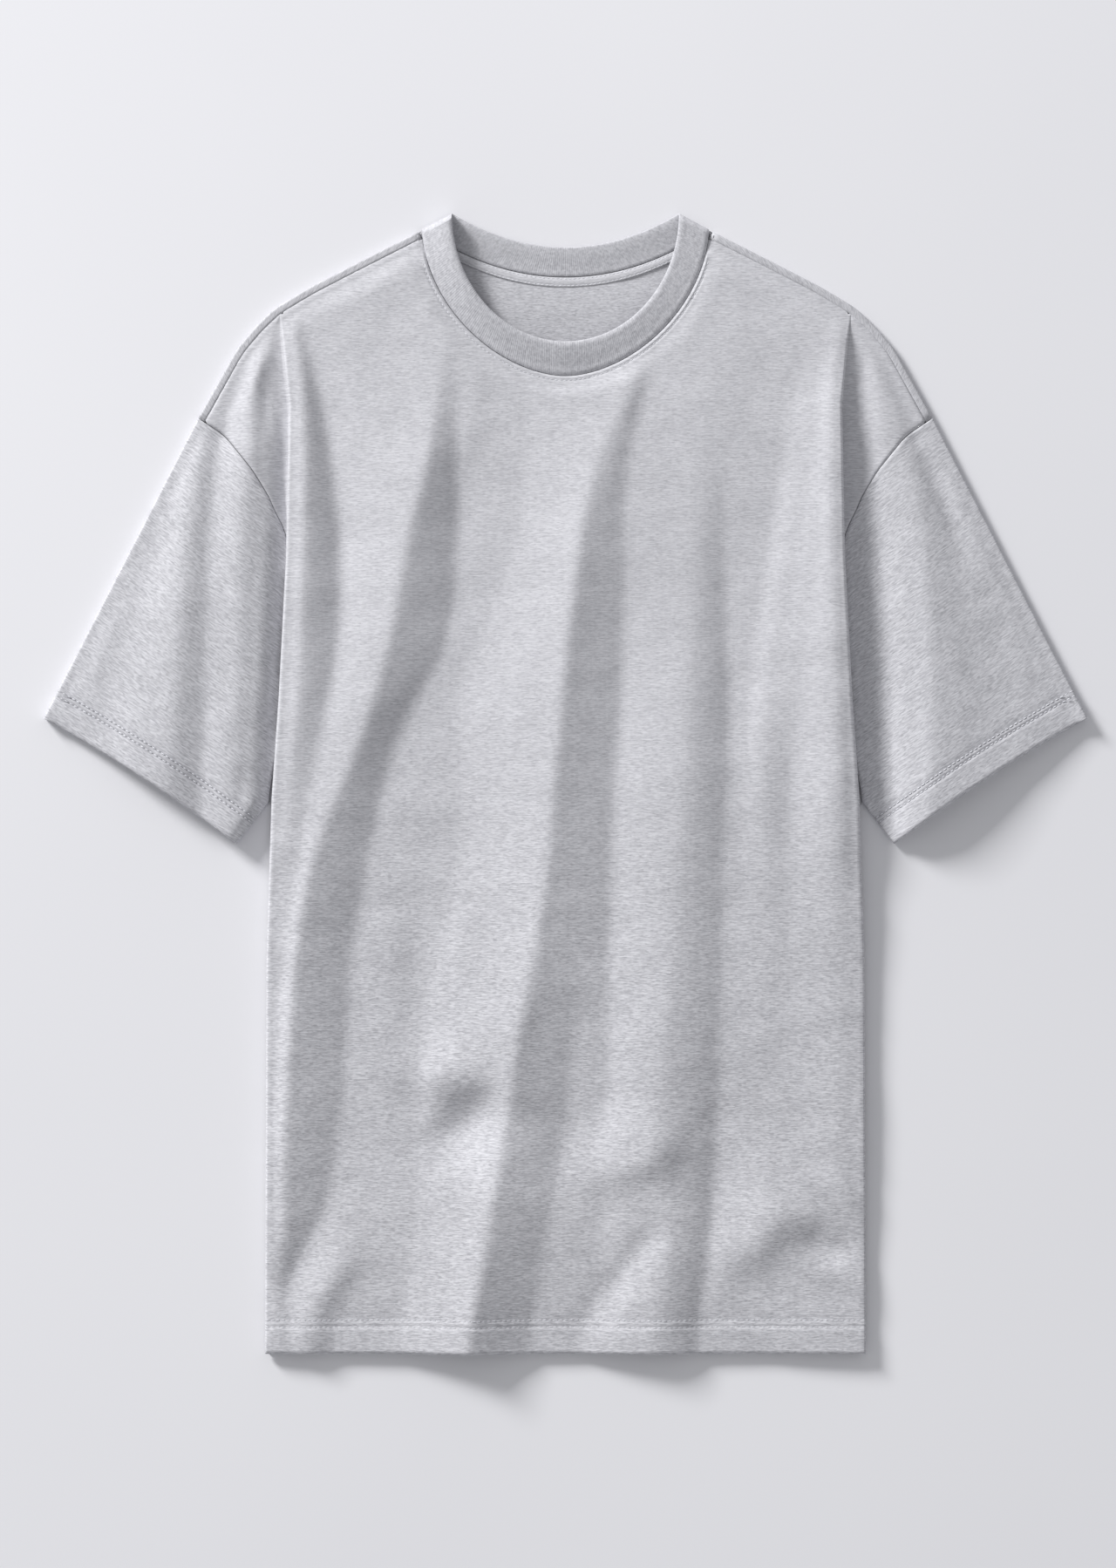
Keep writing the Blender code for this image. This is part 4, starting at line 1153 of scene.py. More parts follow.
@dataclass
class FrontBody:
    """Front of the body: pleated middle, side folds that curl under, and shoulder flaps."""

    layout: Layout
    columns: int = 132
    hem_rows: int = 28
    middle_rows: int = 196
    seam_rows: int = 16
    seam_step: float = 0.9
    flap_columns: int = 20
    roll: float = 1.8
    corner_roll: float = 2.0
    roll_end: float = 262.0
    flap_start: float = 144.0
    shoulder_wrap: float = 5.3
    shoulder_level: float = 5.0
    shoulder_blend: float = 18.0
    neck_level: float = 7.0
    neck_blend: float = 15.0
    hem_stitches: tuple[float, float] = (18.6, 23.4)
    neck_stitch: float = 3.0
    foot_over_sleeve: float = 4.3
    foot_over_back: float = 2.2
    foot_blend: float = 60.0
    fold_bend: float = 0.30
    fold_degrees: tuple[int, ...] = (72, 56, 42, 28, 14, 0, -20, -42, -64)
    wall: float = 1.7
    thin: float = 0.5
    body: Relief = field(init=False)
    outer: dict = field(init=False)

    def __post_init__(self) -> None:
        """Work the relief of each region out."""
        self.body = Relief(BODY_FOLDS, BODY_WRINKLES, (-214.0, 214.0))
        self.outer = {
            Side.LEFT: Relief(LEFT_FOLDS, LEFT_WRINKLES, (-372.0, -180.0), (-60.0, 340.0), seed=11),
            Side.RIGHT: Relief(RIGHT_FOLDS, RIGHT_WRINKLES, (180.0, 372.0), (-60.0, 340.0), seed=23),
        }

    def roll_width(self, height: Array) -> Array:
        """Width of the side fold, which narrows to the shoulder corner."""
        ease = smooth((height - self.roll_end) / (self.layout.corner[1] - self.roll_end))
        return self.roll + (self.corner_roll - self.roll) * ease

    def shoulder_path(self) -> Array:
        """Right shoulder seam of the front, from the neck to the armhole."""
        return self.layout.shoulder(161, self.shoulder_wrap)

    def corner_index(self, seam: Array) -> int:
        """Place on the shoulder seam that is level with the body's corner."""
        return int(np.abs(seam[:, 0] - self.layout.corner[0] + 1.0).argmin())

    def planform(self) -> Array:
        """Grid of x, y between the side folds, from the hem to the shoulders and neckline."""
        seam = self.shoulder_path()
        shoulder = seam[:self.corner_index(seam) + 1].copy()
        top_y = shoulder[-1][1]
        hem = self.layout.hem_y
        hem_end, seam_start = hem + self.hem_rows, top_y - self.seam_rows * self.seam_step
        height = np.concatenate([
            np.linspace(hem, hem_end, self.hem_rows + 1),
            np.linspace(hem_end, seam_start, self.middle_rows + 1)[1:],
            np.linspace(seam_start, top_y, self.seam_rows + 1)[1:],
        ])
        half = self.layout.half_width(height) - self.roll_width(height)
        end = shoulder[-1][0] - self.corner_roll
        half += (end - half[-1]) * smooth((height - self.roll_end) / (top_y - self.roll_end))
        shoulder[-1][0] = end
        left, right = np.stack([-half, height], axis=-1), np.stack([half, height], axis=-1)
        across = np.linspace(0.0, 1.0, self.columns + 1)
        half_neck = self.layout.neck_point[0] / self.layout.corner[0] / 2.0
        first, last = 0.5 - half_neck, 0.5 + half_neck
        left_top = along(mirrored(shoulder)[::-1], np.clip(across / first, 0, 1))
        right_top = along(shoulder, np.clip((across - last) / (1 - last), 0, 1))
        top = np.where((across < first)[:, None], left_top, right_top)
        inside = (across >= first) & (across <= last)
        start = self.neck_start(shoulder[0][1])
        share = (across[inside] - first) / (last - first)
        top[inside] = self.layout.neckline(start + (1 - 2 * start) * share)
        bottom = np.stack([half[0] * (2 * across - 1), np.full(self.columns + 1, hem)], axis=-1)
        return patch(bottom, top, left, right, (height - hem) / (top_y - hem))

    def neck_start(self, height: float) -> float:
        """Share of the neckline at which it has come down to a height."""
        shares = np.linspace(0.0, 0.2, 400)
        return float(shares[int(np.argmax(self.layout.neckline(shares)[:, 1] < height - 0.2))])

    def level(self, points: Array) -> Array:
        """Height of the front's face at points of the body."""
        height = self.body.at(points)
        neck, _, _ = nearest(points, self.layout.neckline(np.linspace(0, 1, 121)), 300)
        height = self.neck_level + (height - self.neck_level) * smooth(neck / self.neck_blend)
        for path in (self.shoulder_path(), mirrored(self.shoulder_path())):
            distance, _, _ = nearest(points, path, 200)
            ease = smooth(distance / self.shoulder_blend)
            height = self.shoulder_level + (height - self.shoulder_level) * ease
            height += seam_relief(distance, (2.6, 1.6), (0.35, 0.7))
        height += 0.38 * bell(neck - 1.7, 0.9) - 0.3 * bell(neck - self.neck_stitch, 0.7)
        height += 0.15 * bell(neck - 4.6, 1.2) - 0.6 * bell(neck, 0.7)
        from_hem = points[..., 1] - self.layout.hem_y
        height += hem_relief(from_hem, self.hem_stitches)
        pucker = np.sin(points[..., 0] / 1.15) * bell(from_hem - np.mean(self.hem_stitches), 6.0)
        return height + 0.05 * pucker

    def flap_level(self, points: Array, side: Side) -> Array:
        """Height of a shoulder flap's face."""
        height = self.outer[side].at(points)
        own = points * (side.value, 1.0)
        over, _, _ = nearest(own, self.shoulder_path(), 200)
        height = self.shoulder_level + (height - self.shoulder_level) * smooth(over / self.shoulder_blend)
        height += seam_relief(over, (2.4, 1.5), (0.35, 0.7))
        seam, _, _ = nearest(own, self.layout.sewn_armhole(120), 300)
        return height + seam_relief(seam, (2.4, 1.4), (0.45, 0.8))

    def side_fold(self, inner: Array, side: Side) -> list[Array]:
        """Columns of a side fold that curls from the front's face down and under.

        Args:
            inner: Points (x, y, z) where the fold starts.
            side: The fold's side.

        Returns:
            The columns of points, from the top to the tucked edge.
        """
        up = inner[:, 1]
        foot = np.where(up > self.layout.underarm[1], self.foot_over_sleeve, self.foot_over_back)
        top_foot = self.shoulder_level - 2 * HALF_GAP
        foot = foot + (top_foot - foot) * smooth((up - self.roll_end) / self.foot_blend)
        ease = smooth((up - self.roll_end) / (self.layout.corner[1] - self.roll_end))
        width = self.roll_width(up)
        middle = foot + self.fold_bend * (inner[:, 2] - foot)
        below_arm = up < self.layout.underarm[1] - 4
        columns = []
        for degrees in self.fold_degrees:
            turn = np.radians(np.where(degrees < 0, degrees * (1 - ease), degrees))
            x = inner[:, 0] + side.value * width * np.cos(turn)
            rise = np.where(turn > 0, inner[:, 2] - middle, middle - foot)
            z = middle + rise * np.sin(turn)
            if side is Side.RIGHT:
                crease = 0.4 * bell(degrees - 58, 8.0) - 0.8 * bell(degrees - 40, 8.0)
                z = z + crease * below_arm
            columns.append(np.stack([x, up, z], axis=-1))
        return columns

    def build(self) -> bpy.types.Object:
        """Build the front panel as one shell with its hem doubled."""
        planform = self.planform()
        middle = raised(planform, self.level(planform))
        left = np.stack(self.side_fold(middle[:, 0], Side.LEFT)[::-1], axis=1)
        right = np.stack(self.side_fold(middle[:, -1], Side.RIGHT), axis=1)
        sheet = np.concatenate([left, middle, right], axis=1)
        step = np.linalg.norm(np.diff(sheet[:, :, [0, 2]], axis=1), axis=-1)
        run = np.concatenate([np.zeros((len(sheet), 1)), np.cumsum(step, axis=1)], axis=1)
        run -= run[:, [run.shape[1] // 2]]
        u = 0.6 * sheet[:, :, 0] + 0.4 * run
        uv = np.stack([u, sheet[:, :, 1]], axis=-1).reshape(-1, 2)
        index = numbered(sheet)
        vertices, faces, coords = [sheet.reshape(-1, 3)], grid_faces(index), [uv]
        total = index.size
        for side, column in ((Side.LEFT, 0), (Side.RIGHT, sheet.shape[1] - 1)):
            flap = self.flap(sheet[:, column], side)
            number = numbered(flap, total)
            vertices.append(flap.reshape(-1, 3))
            coords.append(flap[..., :2].reshape(-1, 2))
            faces += grid_faces(number, flip=side is Side.LEFT)
            total += number.size
        vertices, coords = np.concatenate(vertices), np.concatenate(coords)
        thick = 1 - smooth((vertices[:, 1] - self.layout.hem_y - self.hem_stitches[0]) / 3.0)
        return new_cloth("front_body", vertices, faces, coords, BODY_JERSEY.material(),
                         self.wall, thick, self.thin)

    def flap(self, foot: Array, side: Side) -> Array:
        """Grid of the flap between a side fold's tucked edge and the armhole and shoulder seams."""
        rows = foot[foot[:, 1] >= self.flap_start]
        own = rows * (side.value, 1.0, 1.0)
        seam = self.shoulder_path()
        over = seam[self.corner_index(seam):]
        hole = self.layout.sewn_armhole(161)
        hole = hole[(hole[:, 1] >= self.flap_start) & (hole[:, 1] < over[-1][1])][::-1]
        sewn = hole - HALF_GAP * edge_normals(hole)
        outline = np.concatenate([own[:1, :2], sewn, over[::-1], own[-1:, :2]])
        outer = along(outline, np.linspace(0, 1, len(own)))
        outer[:, 0] = np.maximum(outer[:, 0], own[:, 0] + 0.3)
        share = np.linspace(0, 1, self.flap_columns + 1)[None, :, None]
        plan = own[:, None, :2] * (1 - share) + outer[:, None] * share
        plan = plan * (side.value, 1.0)
        level = self.flap_level(plan, side)
        blend = smooth(share[..., 0] * 4.0)
        level = rows[:, 2][:, None] * (1 - blend) + level * blend
        return raised(plan, level)

    def hem_paths(self) -> list[Array]:
        """Lines of the two hem stitch rows, a hair above the cloth."""
        paths = []
        for distance in self.hem_stitches:
            y = self.layout.hem_y + distance
            half = float(self.layout.half_width(y)) - self.roll
            points = np.stack([np.linspace(-half, half, 400), np.full(400, y)], axis=-1)
            paths.append(raised(points, self.level(points) + THREAD_LIFT))
        return paths

    def neck_path(self) -> Array:
        """Line of the topstitch round the neck seam."""
        seam = self.layout.neckline(np.linspace(0.02, 0.98, 300))
        tangent = np.gradient(seam, axis=0)
        out = np.stack([tangent[:, 1], -tangent[:, 0]], axis=-1)
        points = seam + self.neck_stitch * unit(out)
        return raised(points, self.level(points) + THREAD_LIFT)


# ---------------------------------------------------------------- back body


@dataclass
class BackBody:
    """Back of the body: flat on the surface, rolled over the shoulders to meet the front."""

    layout: Layout
    rows_body: int = 44
    rows_armhole: int = 40
    columns_neck: int = 56
    columns_shoulder: int = 36
    roll: float = 2.5
    bulge: float = 1.3
    wrap: float = 6.0
    seam_gap: float = 0.3
    wall: float = 1.1
    seed: int = 31

    def build(self) -> bpy.types.Object:
        """Build the back panel and its shoulder wraps as one shell."""
        edge = self.layout.shoulder(self.columns_shoulder + 1)[::-1] * (-1, 1)
        inner = self.layout.shoulder(self.columns_shoulder + 1, self.roll)[::-1] * (-1, 1)
        seam = self.layout.back_seam(np.linspace(1, 0, self.columns_neck + 1)) - (0.0, self.seam_gap)
        top = np.concatenate([inner[:-1], seam, inner[-2::-1] * (-1, 1)])
        hole = self.layout.armhole(61)[1:][::-1]
        height = np.concatenate([
            np.linspace(self.layout.hem_y, self.layout.underarm[1] - 8, self.rows_body),
            np.linspace(self.layout.underarm[1], self.layout.tip[1] - 3, self.rows_armhole),
            [top[0][1]],
        ])
        low = np.flatnonzero(height < self.layout.underarm[1])
        width = np.interp(height, hole[:, 1], hole[:, 0])
        width[low] = self.layout.half_width(height[low]) - 2.0
        width[-1] = top[-1][0]
        left, right = np.stack([-width, height], axis=-1), np.stack([width, height], axis=-1)
        across = np.linspace(-1, 1, len(top))
        bottom = np.stack([across * width[0], np.full(len(top), self.layout.hem_y)], axis=-1)
        plan = patch(bottom, top, left, right, (height - height[0]) / (height[-1] - height[0]))
        index = numbered(plan)
        vertices = [raised(plan, self.lift(plan)).reshape(-1, 3)]
        coords = [plan.reshape(-1, 2)]
        faces = grid_faces(index, flip=True)
        total = index.size
        count = self.columns_shoulder + 1
        for line, foot in ((edge, index[-1, :count]), (edge[::-1] * (-1, 1), index[-1, -count:])):
            ring, flat = self.shoulder_wrap(line)
            number = numbered(ring, total)
            faces += grid_faces(np.concatenate([foot[None], number]), flip=True)
            vertices.append(ring.reshape(-1, 3))
            coords.append(flat.reshape(-1, 2))
            total += number.size
        return new_cloth("back_body", np.concatenate(vertices), faces, np.concatenate(coords),
                         INNER_JERSEY.material(), self.wall)

    def lift(self, plan: Array) -> Array:
        """Slight lift of the back off the surface, most where the neck opening shows it."""
        random = np.random.default_rng(self.seed)
        level = np.zeros(plan.shape[:2])
        for amount, reach in ((0.5, 26.0), (0.22, 11.0)):
            for _ in range(26):
                centre = np.array((random.uniform(-85, 85), random.uniform(285, 350)))
                offset = (plan - centre) / (reach, reach * random.uniform(0.5, 1.0))
                level += amount * random.uniform(0.3, 1.0) * np.exp(-np.sum(offset ** 2, axis=-1))
        fade = smooth((plan[..., 1] - 262.0) / 30.0) * smooth((348.0 - plan[..., 1]) / 12.0)
        return level * fade

    def shoulder_wrap(self, edge: Array) -> tuple[Array, Array]:
        """Rings of the wrap that rises from the edge and turns inwards to the seam.

        Args:
            edge: The shoulder's silhouette line.

        Returns:
            The rings' points, and their places on the flat cloth.
        """
        normal = edge_normals(edge)
        turns = np.radians((-60, -35, -10, 15, 40, 65, 90))
        profile = [(self.roll - self.bulge * (1 - np.cos(t)), self.roll * (1 + np.sin(t))) for t in turns]
        inward = np.array((2.0, 3.0, 4.0, 5.1, self.wrap))
        dip = (0.0, 0.05, 0.05, -0.05, -1.5)
        profile += [(self.roll - reach, 2 * self.roll + fall) for reach, fall in zip(inward, dip)]
        rings, flat = [], []
        travelled, before = 0.0, (0.0, 0.0)
        for out, level in profile:
            ring = edge + (out - self.roll) * normal
            rings.append(raised(ring, level))
            travelled += math.dist(before, (out, level))
            before = (out, level)
            flat.append(edge + travelled * normal)
        return np.stack(rings), np.stack(flat)


# ---------------------------------------------------------------- sleeves


@dataclass
class Sleeve:
    """Short sleeve: a flattened tube from the armhole to an open, hemmed cuff."""

    layout: Layout
    side: Side
    front: FrontBody
    length_rows: int = 78
    hem_rows: int = 28
    hem_reach: float = 27.0
    seam_rows: int = 6
    seam_share: float = 0.028
    top_columns: int = 84
    under_columns: int = 26
    roll: float = 2.5
    bulge: float = 1.4
    outer_blend: float = 12.0
    inner_blend: float = 5.5
    inner_foot: float = 3.4
    inner_rise: float = 1.6
    inner_drop: float = 0.8
    open_from: float = 0.45
    open_span: float = 0.3
    cuff_gape: float = 3.5
    cuff_hollow: float = 3.0
    row_inset: float = 0.8
    turns: tuple[int, ...] = (-68, -45, -22, 0, 22, 45, 68)
    stitches: tuple[float, float] = (18.0, 21.6)
    thread_lift: float = 0.42
    wall: float = 1.7
    thin: float = 0.5

    def armhole_edge(self) -> Array:
        """Sleeve's edge at the armhole seam."""
        hole = self.layout.sewn_armhole(self.top_columns + 1)
        return hole + HALF_GAP * edge_normals(hole)

    def line_at(self, distance: float) -> Array:
        """Line across the sleeve that runs at a distance from the cuff's edge."""
        outer, inner = np.array(self.layout.cuff_outer), np.array(self.layout.cuff_inner)
        tip, underarm = np.array(self.layout.tip), np.array(self.layout.underarm)
        reach = unit(inner - outer)
        inward = np.array((reach[1], -reach[0]))
        start = outer + distance * unit(tip - outer)
        end = inner + distance * unit(underarm - inner)
        across = np.linspace(0, 1, self.top_columns + 1)[:, None]
        return start + (end - start) * across + self.cuff_hollow * np.sin(math.pi * across) * inward

    def plan(self) -> tuple[Array, Array]:
        """Grid of x, y on the right side, from the armhole row to the cuff row.

        Returns:
            The grid, and the distance of each of its points from the cuff's edge.
        """
        hole, low = self.armhole_edge(), self.line_at(self.hem_reach)
        shares = np.concatenate([
            np.linspace(0, self.seam_share, self.seam_rows + 1)[:-1],
            np.linspace(self.seam_share, 1, self.length_rows + 1),
        ])
        first, last = along((hole[0], low[0]), shares), along((hole[-1], low[-1]), shares)
        upper = patch(hole, low, first, last, shares)
        length = np.linalg.norm(hole - low, axis=1)
        above = self.hem_reach + (1 - shares)[:, None] * length[None]
        distances = np.linspace(self.hem_reach, 0.0, self.hem_rows + 1)[1:]
        hem = np.stack([self.line_at(distance) for distance in distances])
        below = np.broadcast_to(distances[:, None], hem.shape[:2])
        return np.concatenate([upper, hem]), np.concatenate([above, below])

    def level(self, points: Array, from_cuff: Array) -> Array:
        """Height of the sleeve's upper face at right-side points."""
        height = self.front.outer[self.side].at(points * (self.side.value, 1.0))
        seam, _, _ = nearest(points, self.armhole_edge(), 300)
        height += seam_relief(seam, (2.0, 1.3), (0.5, 0.8))
        return height + hem_relief(from_cuff, self.stitches, 0.7, 1.8)

    def settle(self, level: Array, place: Array, length: float, row_share: float) -> Array:
        """Bring a row's heights down to the folds at its outer and inner edges."""
        outer = 2 * self.roll + self.cuff_gape * row_share ** 4
        inner = self.inner_foot + self.inner_rise * float(smooth(2.0 * row_share))
        near_outer = place < 0.5 * length
        edge = np.where(near_outer, place, length - place) - self.bulge
        ease = smooth(edge / np.where(near_outer, self.outer_blend, self.inner_blend))
        open_cuff = float(smooth((row_share - self.open_from) / self.open_span))
        inner = inner + (level[-1] - self.inner_drop - inner) * open_cuff
        base = np.where(near_outer, outer, inner)
        return base + (level - base) * ease

    def build(self) -> bpy.types.Object:
        """Build the sleeve as one tube, open at both ends, with its hem doubled."""
        plan, distance = self.plan()
        top_level = self.level(plan, distance)
        slant = unit(np.array(self.layout.cuff_inner) - np.array(self.layout.cuff_outer))
        turns = np.radians(self.turns)
        rings, flats = [], []
        for row, line in enumerate(plan):
            row_share = row / (len(plan) - 1)
            length = float(np.linalg.norm(np.diff(line, axis=0), axis=1).sum())
            place = np.linspace(self.bulge, length - self.bulge, self.top_columns + 1)
            level = np.interp(place / length, shares_of(line), top_level[row])
            level = self.settle(level, place, length, row_share)
            low, high = level[0] / 2, level[-1] / 2
            out = self.bulge * (1 - np.cos(turns))
            under = np.linspace(1 - self.bulge / length, self.bulge / length, self.under_columns + 1)
            shares = np.concatenate([out / length, place / length, 1 - out[::-1] / length, under])
            ring = along(line, shares)
            z = np.concatenate([low + low * np.sin(turns), level, high + high * np.sin(turns[::-1]),
                                np.zeros(len(under))])
            rings.append(raised(ring * (self.side.value, 1.0), z))
            flats.append(np.stack([ring @ slant, ring @ np.array((-slant[1], slant[0]))], axis=-1))
        rings, flats = np.stack(rings), np.stack(flats)
        index = numbered(rings)
        faces = grid_faces(index, closed=True, flip=self.side is Side.LEFT)
        doubled = 1 - smooth((distance.min(axis=1) - self.stitches[0]) / 3.0)
        thick = np.repeat(doubled * (distance.max(axis=1) < self.hem_reach + 1), rings.shape[1])
        from_cuff = distance.mean(axis=1)
        # Mask of painted shade along the two cuff stitch rows, stored as sewn.
        sewn = np.max([bell(from_cuff - row, 0.8) for row in self.stitches], axis=0)
        return new_cloth(f"{self.side.name.lower()}_sleeve", rings.reshape(-1, 3), faces,
                         flats.reshape(-1, 2), SLEEVE_JERSEY.material(), self.wall, thick, self.thin,
                         np.repeat(sewn, rings.shape[1]))

    def stitch_paths(self) -> list[Array]:
        """Lines of the two cuff stitch rows, a hair above the cloth."""
        paths = []
        for distance in self.stitches:
            line = self.line_at(distance)
            length = float(np.linalg.norm(np.diff(line, axis=0), axis=1).sum())
            inset = self.bulge + self.row_inset
            place = np.linspace(inset, length - inset, 260)
            points = along(line, place / length)
            level = self.level(points, np.full(len(points), distance))
            level = self.settle(level, place, length, 1.0) + self.thread_lift
            paths.append(raised(points * (self.side.value, 1.0), level))
        return paths


# ---------------------------------------------------------------- neck


@dataclass
class NeckRib:
    """Doubled 1x1 rib band round the neck: raised over the front, flat along the back."""

    layout: Layout
    ribs_front: int = 206
    ribs_back: int = 132
    front_length: float = 330.0
    back_length: float = 210.0
    stations: int = 4
    across: int = 12
    width: float = 20.0
    rib_pitch: float = 1.6
    neck_level: float = 7.0
    crown: float = 0.5
    wall: float = 2.0
    gap: float = 0.25
    depth: float = 0.07
    rise: float = 3.6
    stand: float = 5.0
    back_lean: float = 1.8

    def lines(self) -> tuple[Array, Array, Array, Array]:
        """Seam line, free edge, level and rib phase of the band, station by station."""
        total_front, total_back = self.ribs_front * self.stations, self.ribs_back * self.stations
        front = np.arange(total_front) / total_front
        back = np.arange(total_back) / total_back
        seam = np.concatenate([self.layout.neckline(front), self.layout.back_seam(back)])
        edge = np.concatenate([self.layout.rib_front(front), self.layout.rib_back(back)])
        fold = self.neck_level / 2
        levels = []
        for shares, lift, length in ((front, 1, self.front_length), (back, -1, self.back_length)):
            run = np.minimum(shares, 1 - shares) * length / fold
            levels.append(fold + lift * fold * np.sin(np.minimum(run / 1.6, 1.0) * math.pi / 2))
        phase = 2 * math.pi * np.arange(len(seam)) / self.stations
        return seam, edge, np.concatenate(levels), phase

    def build(self) -> bpy.types.Object:
        """Build the band as one closed ring whose ribs are raised by Geometry Nodes."""
        seam, edge, level, phase = self.lines()
        seam = seam + self.gap * unit(edge - seam)
        width = np.linalg.norm(edge - seam, axis=1)
        radius = self.wall / 2
        profile = [(share, 1.0) for share in np.linspace(0.02, 0.94, self.across)]
        turns = np.radians((60, 30, 0, -30, -60))
        profile += [(1.0 - 0.06 * (1 - math.cos(turn)), math.sin(turn)) for turn in turns]
        profile += [(share, -1.0) for share in np.linspace(0.94, 0.02, self.across)]
        profile += [(0.0, -0.5), (0.0, 0.5)]
        rings, flats, weight = [], [], []
        front = np.clip(level / (self.neck_level / 2) - 1, 0, 1)
        aside = np.clip(edge[:, 0] / self.layout.peak[0], -1, 1)
        stand = np.abs(aside) ** 1.6 * (aside < 0)
        rise = self.rise * (1 - 0.8 * np.clip(aside, 0, 1) - 0.25 * np.clip(-aside, 0, 1))
        behind = np.clip(1 - level / (self.neck_level / 2), 0, 1)
        for place, face in profile:
            xy = seam + (edge - seam) * place
            crown = self.crown * np.sin(math.pi * min(place, 0.97)) ** 0.8 * front
            shape = -0.6 * bell(place * width, 1.3) + 0.35 * bell(place * width - 2.6, 1.2)
            shape += 0.5 * bell((1 - place) * width - 2.6, 1.8)
            base = np.interp(level, (0.0, self.neck_level), (radius, self.neck_level - radius))
            lean = (rise + self.stand * stand) * front + self.back_lean * behind
            z = base + radius * face + crown + lean * float(smooth(place / 0.9))
            rings.append(raised(xy, z + shape * front * (face > 0)))
            travel = place * self.width if face > 0 else 2.2 * self.width - place * self.width
            flats.append(np.stack([phase / (2 * math.pi) * self.rib_pitch,
                                   np.full(len(xy), travel)], axis=-1))
            weight.append(np.full(len(xy), 0.0 if place < 0.03 else 1.0))
        rings, flats, weight = np.stack(rings), np.stack(flats), np.concatenate(weight)
        index = numbered(rings)
        closed = np.concatenate([index, index[:1]])
        piece = new_cloth("neck_band", rings.reshape(-1, 3), grid_faces(closed, closed=True),
                          flats.reshape(-1, 2), RIB_KNIT.material())
        store(piece.data, "rib_phase", np.tile(phase, len(profile)))
        store(piece.data, "rib_share", weight)
        recalculate(piece)
        ribs = piece.modifiers.new("ribs", "NODES")
        ribs.node_group = RibTree.tree()
        set_inputs(ribs, depth=self.depth * MM, finish=RIB_KNIT.material())
        bake(piece)
        piece.data.shade_smooth()
        return piece


def recalculate(piece: bpy.types.Object) -> None:
    """Turn a closed piece's faces outwards."""
    bm = bmesh.new()
    bm.from_mesh(piece.data)
    bmesh.ops.recalc_face_normals(bm, faces=bm.faces)
    bm.to_mesh(piece.data)
    bm.free()


@dataclass
class NeckTape:
    """Narrow tape sewn over the back neck seam, on the inner face of the back."""

    layout: Layout
    width: float = 6.5
    half_span: float = 83.0
    base: float = 1.15
    thickness: float = 0.9
    stations: int = 180
    stitch_inset: float = 1.0

    def line(self) -> Array:
        """Upper edge of the tape from right to left."""
        line = self.layout.back_seam(np.linspace(0, 1, self.stations * 2))
        line = line[np.abs(line[:, 0]) <= self.half_span]
        return line - (0.0, 0.4)

    def level(self, across: float) -> float:
        """Height of the tape's face at a share of its width."""
        rolled = math.sin(math.pi * min(max(across, 0.0), 1.0)) ** 0.35
        ridge = 0.35 * bell(across - 0.93, 0.08)
        groove = -0.28 * (bell(across - 0.15, 0.07) + bell(across - 0.84, 0.07))
        return float(self.base + 0.35 + self.thickness * rolled + ridge + groove)

    def build(self) -> bpy.types.Object:
        """Build the tape as a closed strip with rounded edges."""
        line = self.line()
        shares = np.linspace(0, 1, 17)
        rows = [(share, self.level(float(share))) for share in shares]
        rows += [(1.0, self.base), (0.0, self.base)]
        points = np.stack([raised(line - (0.0, self.width * share), z) for share, z in rows], axis=1)
        index = numbered(points)
        faces = grid_faces(index, closed=True)
        faces += [index[0].tolist()[::-1], index[-1].tolist()]
        depths = np.array([share * self.width for share, _ in rows])
        flat = np.stack(np.broadcast_arrays(line[:, None, 0], depths), axis=-1)
        piece = new_cloth("back_neck_tape", points.reshape(-1, 3), faces, flat.reshape(-1, 2),
                          TAPE_KNIT.material())
        recalculate(piece)
        return piece

    def stitch_paths(self) -> list[Array]:
        """Lines of the stitch rows along both edges of the tape."""
        line = self.line()[4:-4]
        paths = []
        for across in (self.stitch_inset / self.width, 1 - self.stitch_inset / self.width):
            paths.append(raised(line - (0.0, self.width * across), self.level(across) + 0.1))
        return paths


# ---------------------------------------------------------------- studio


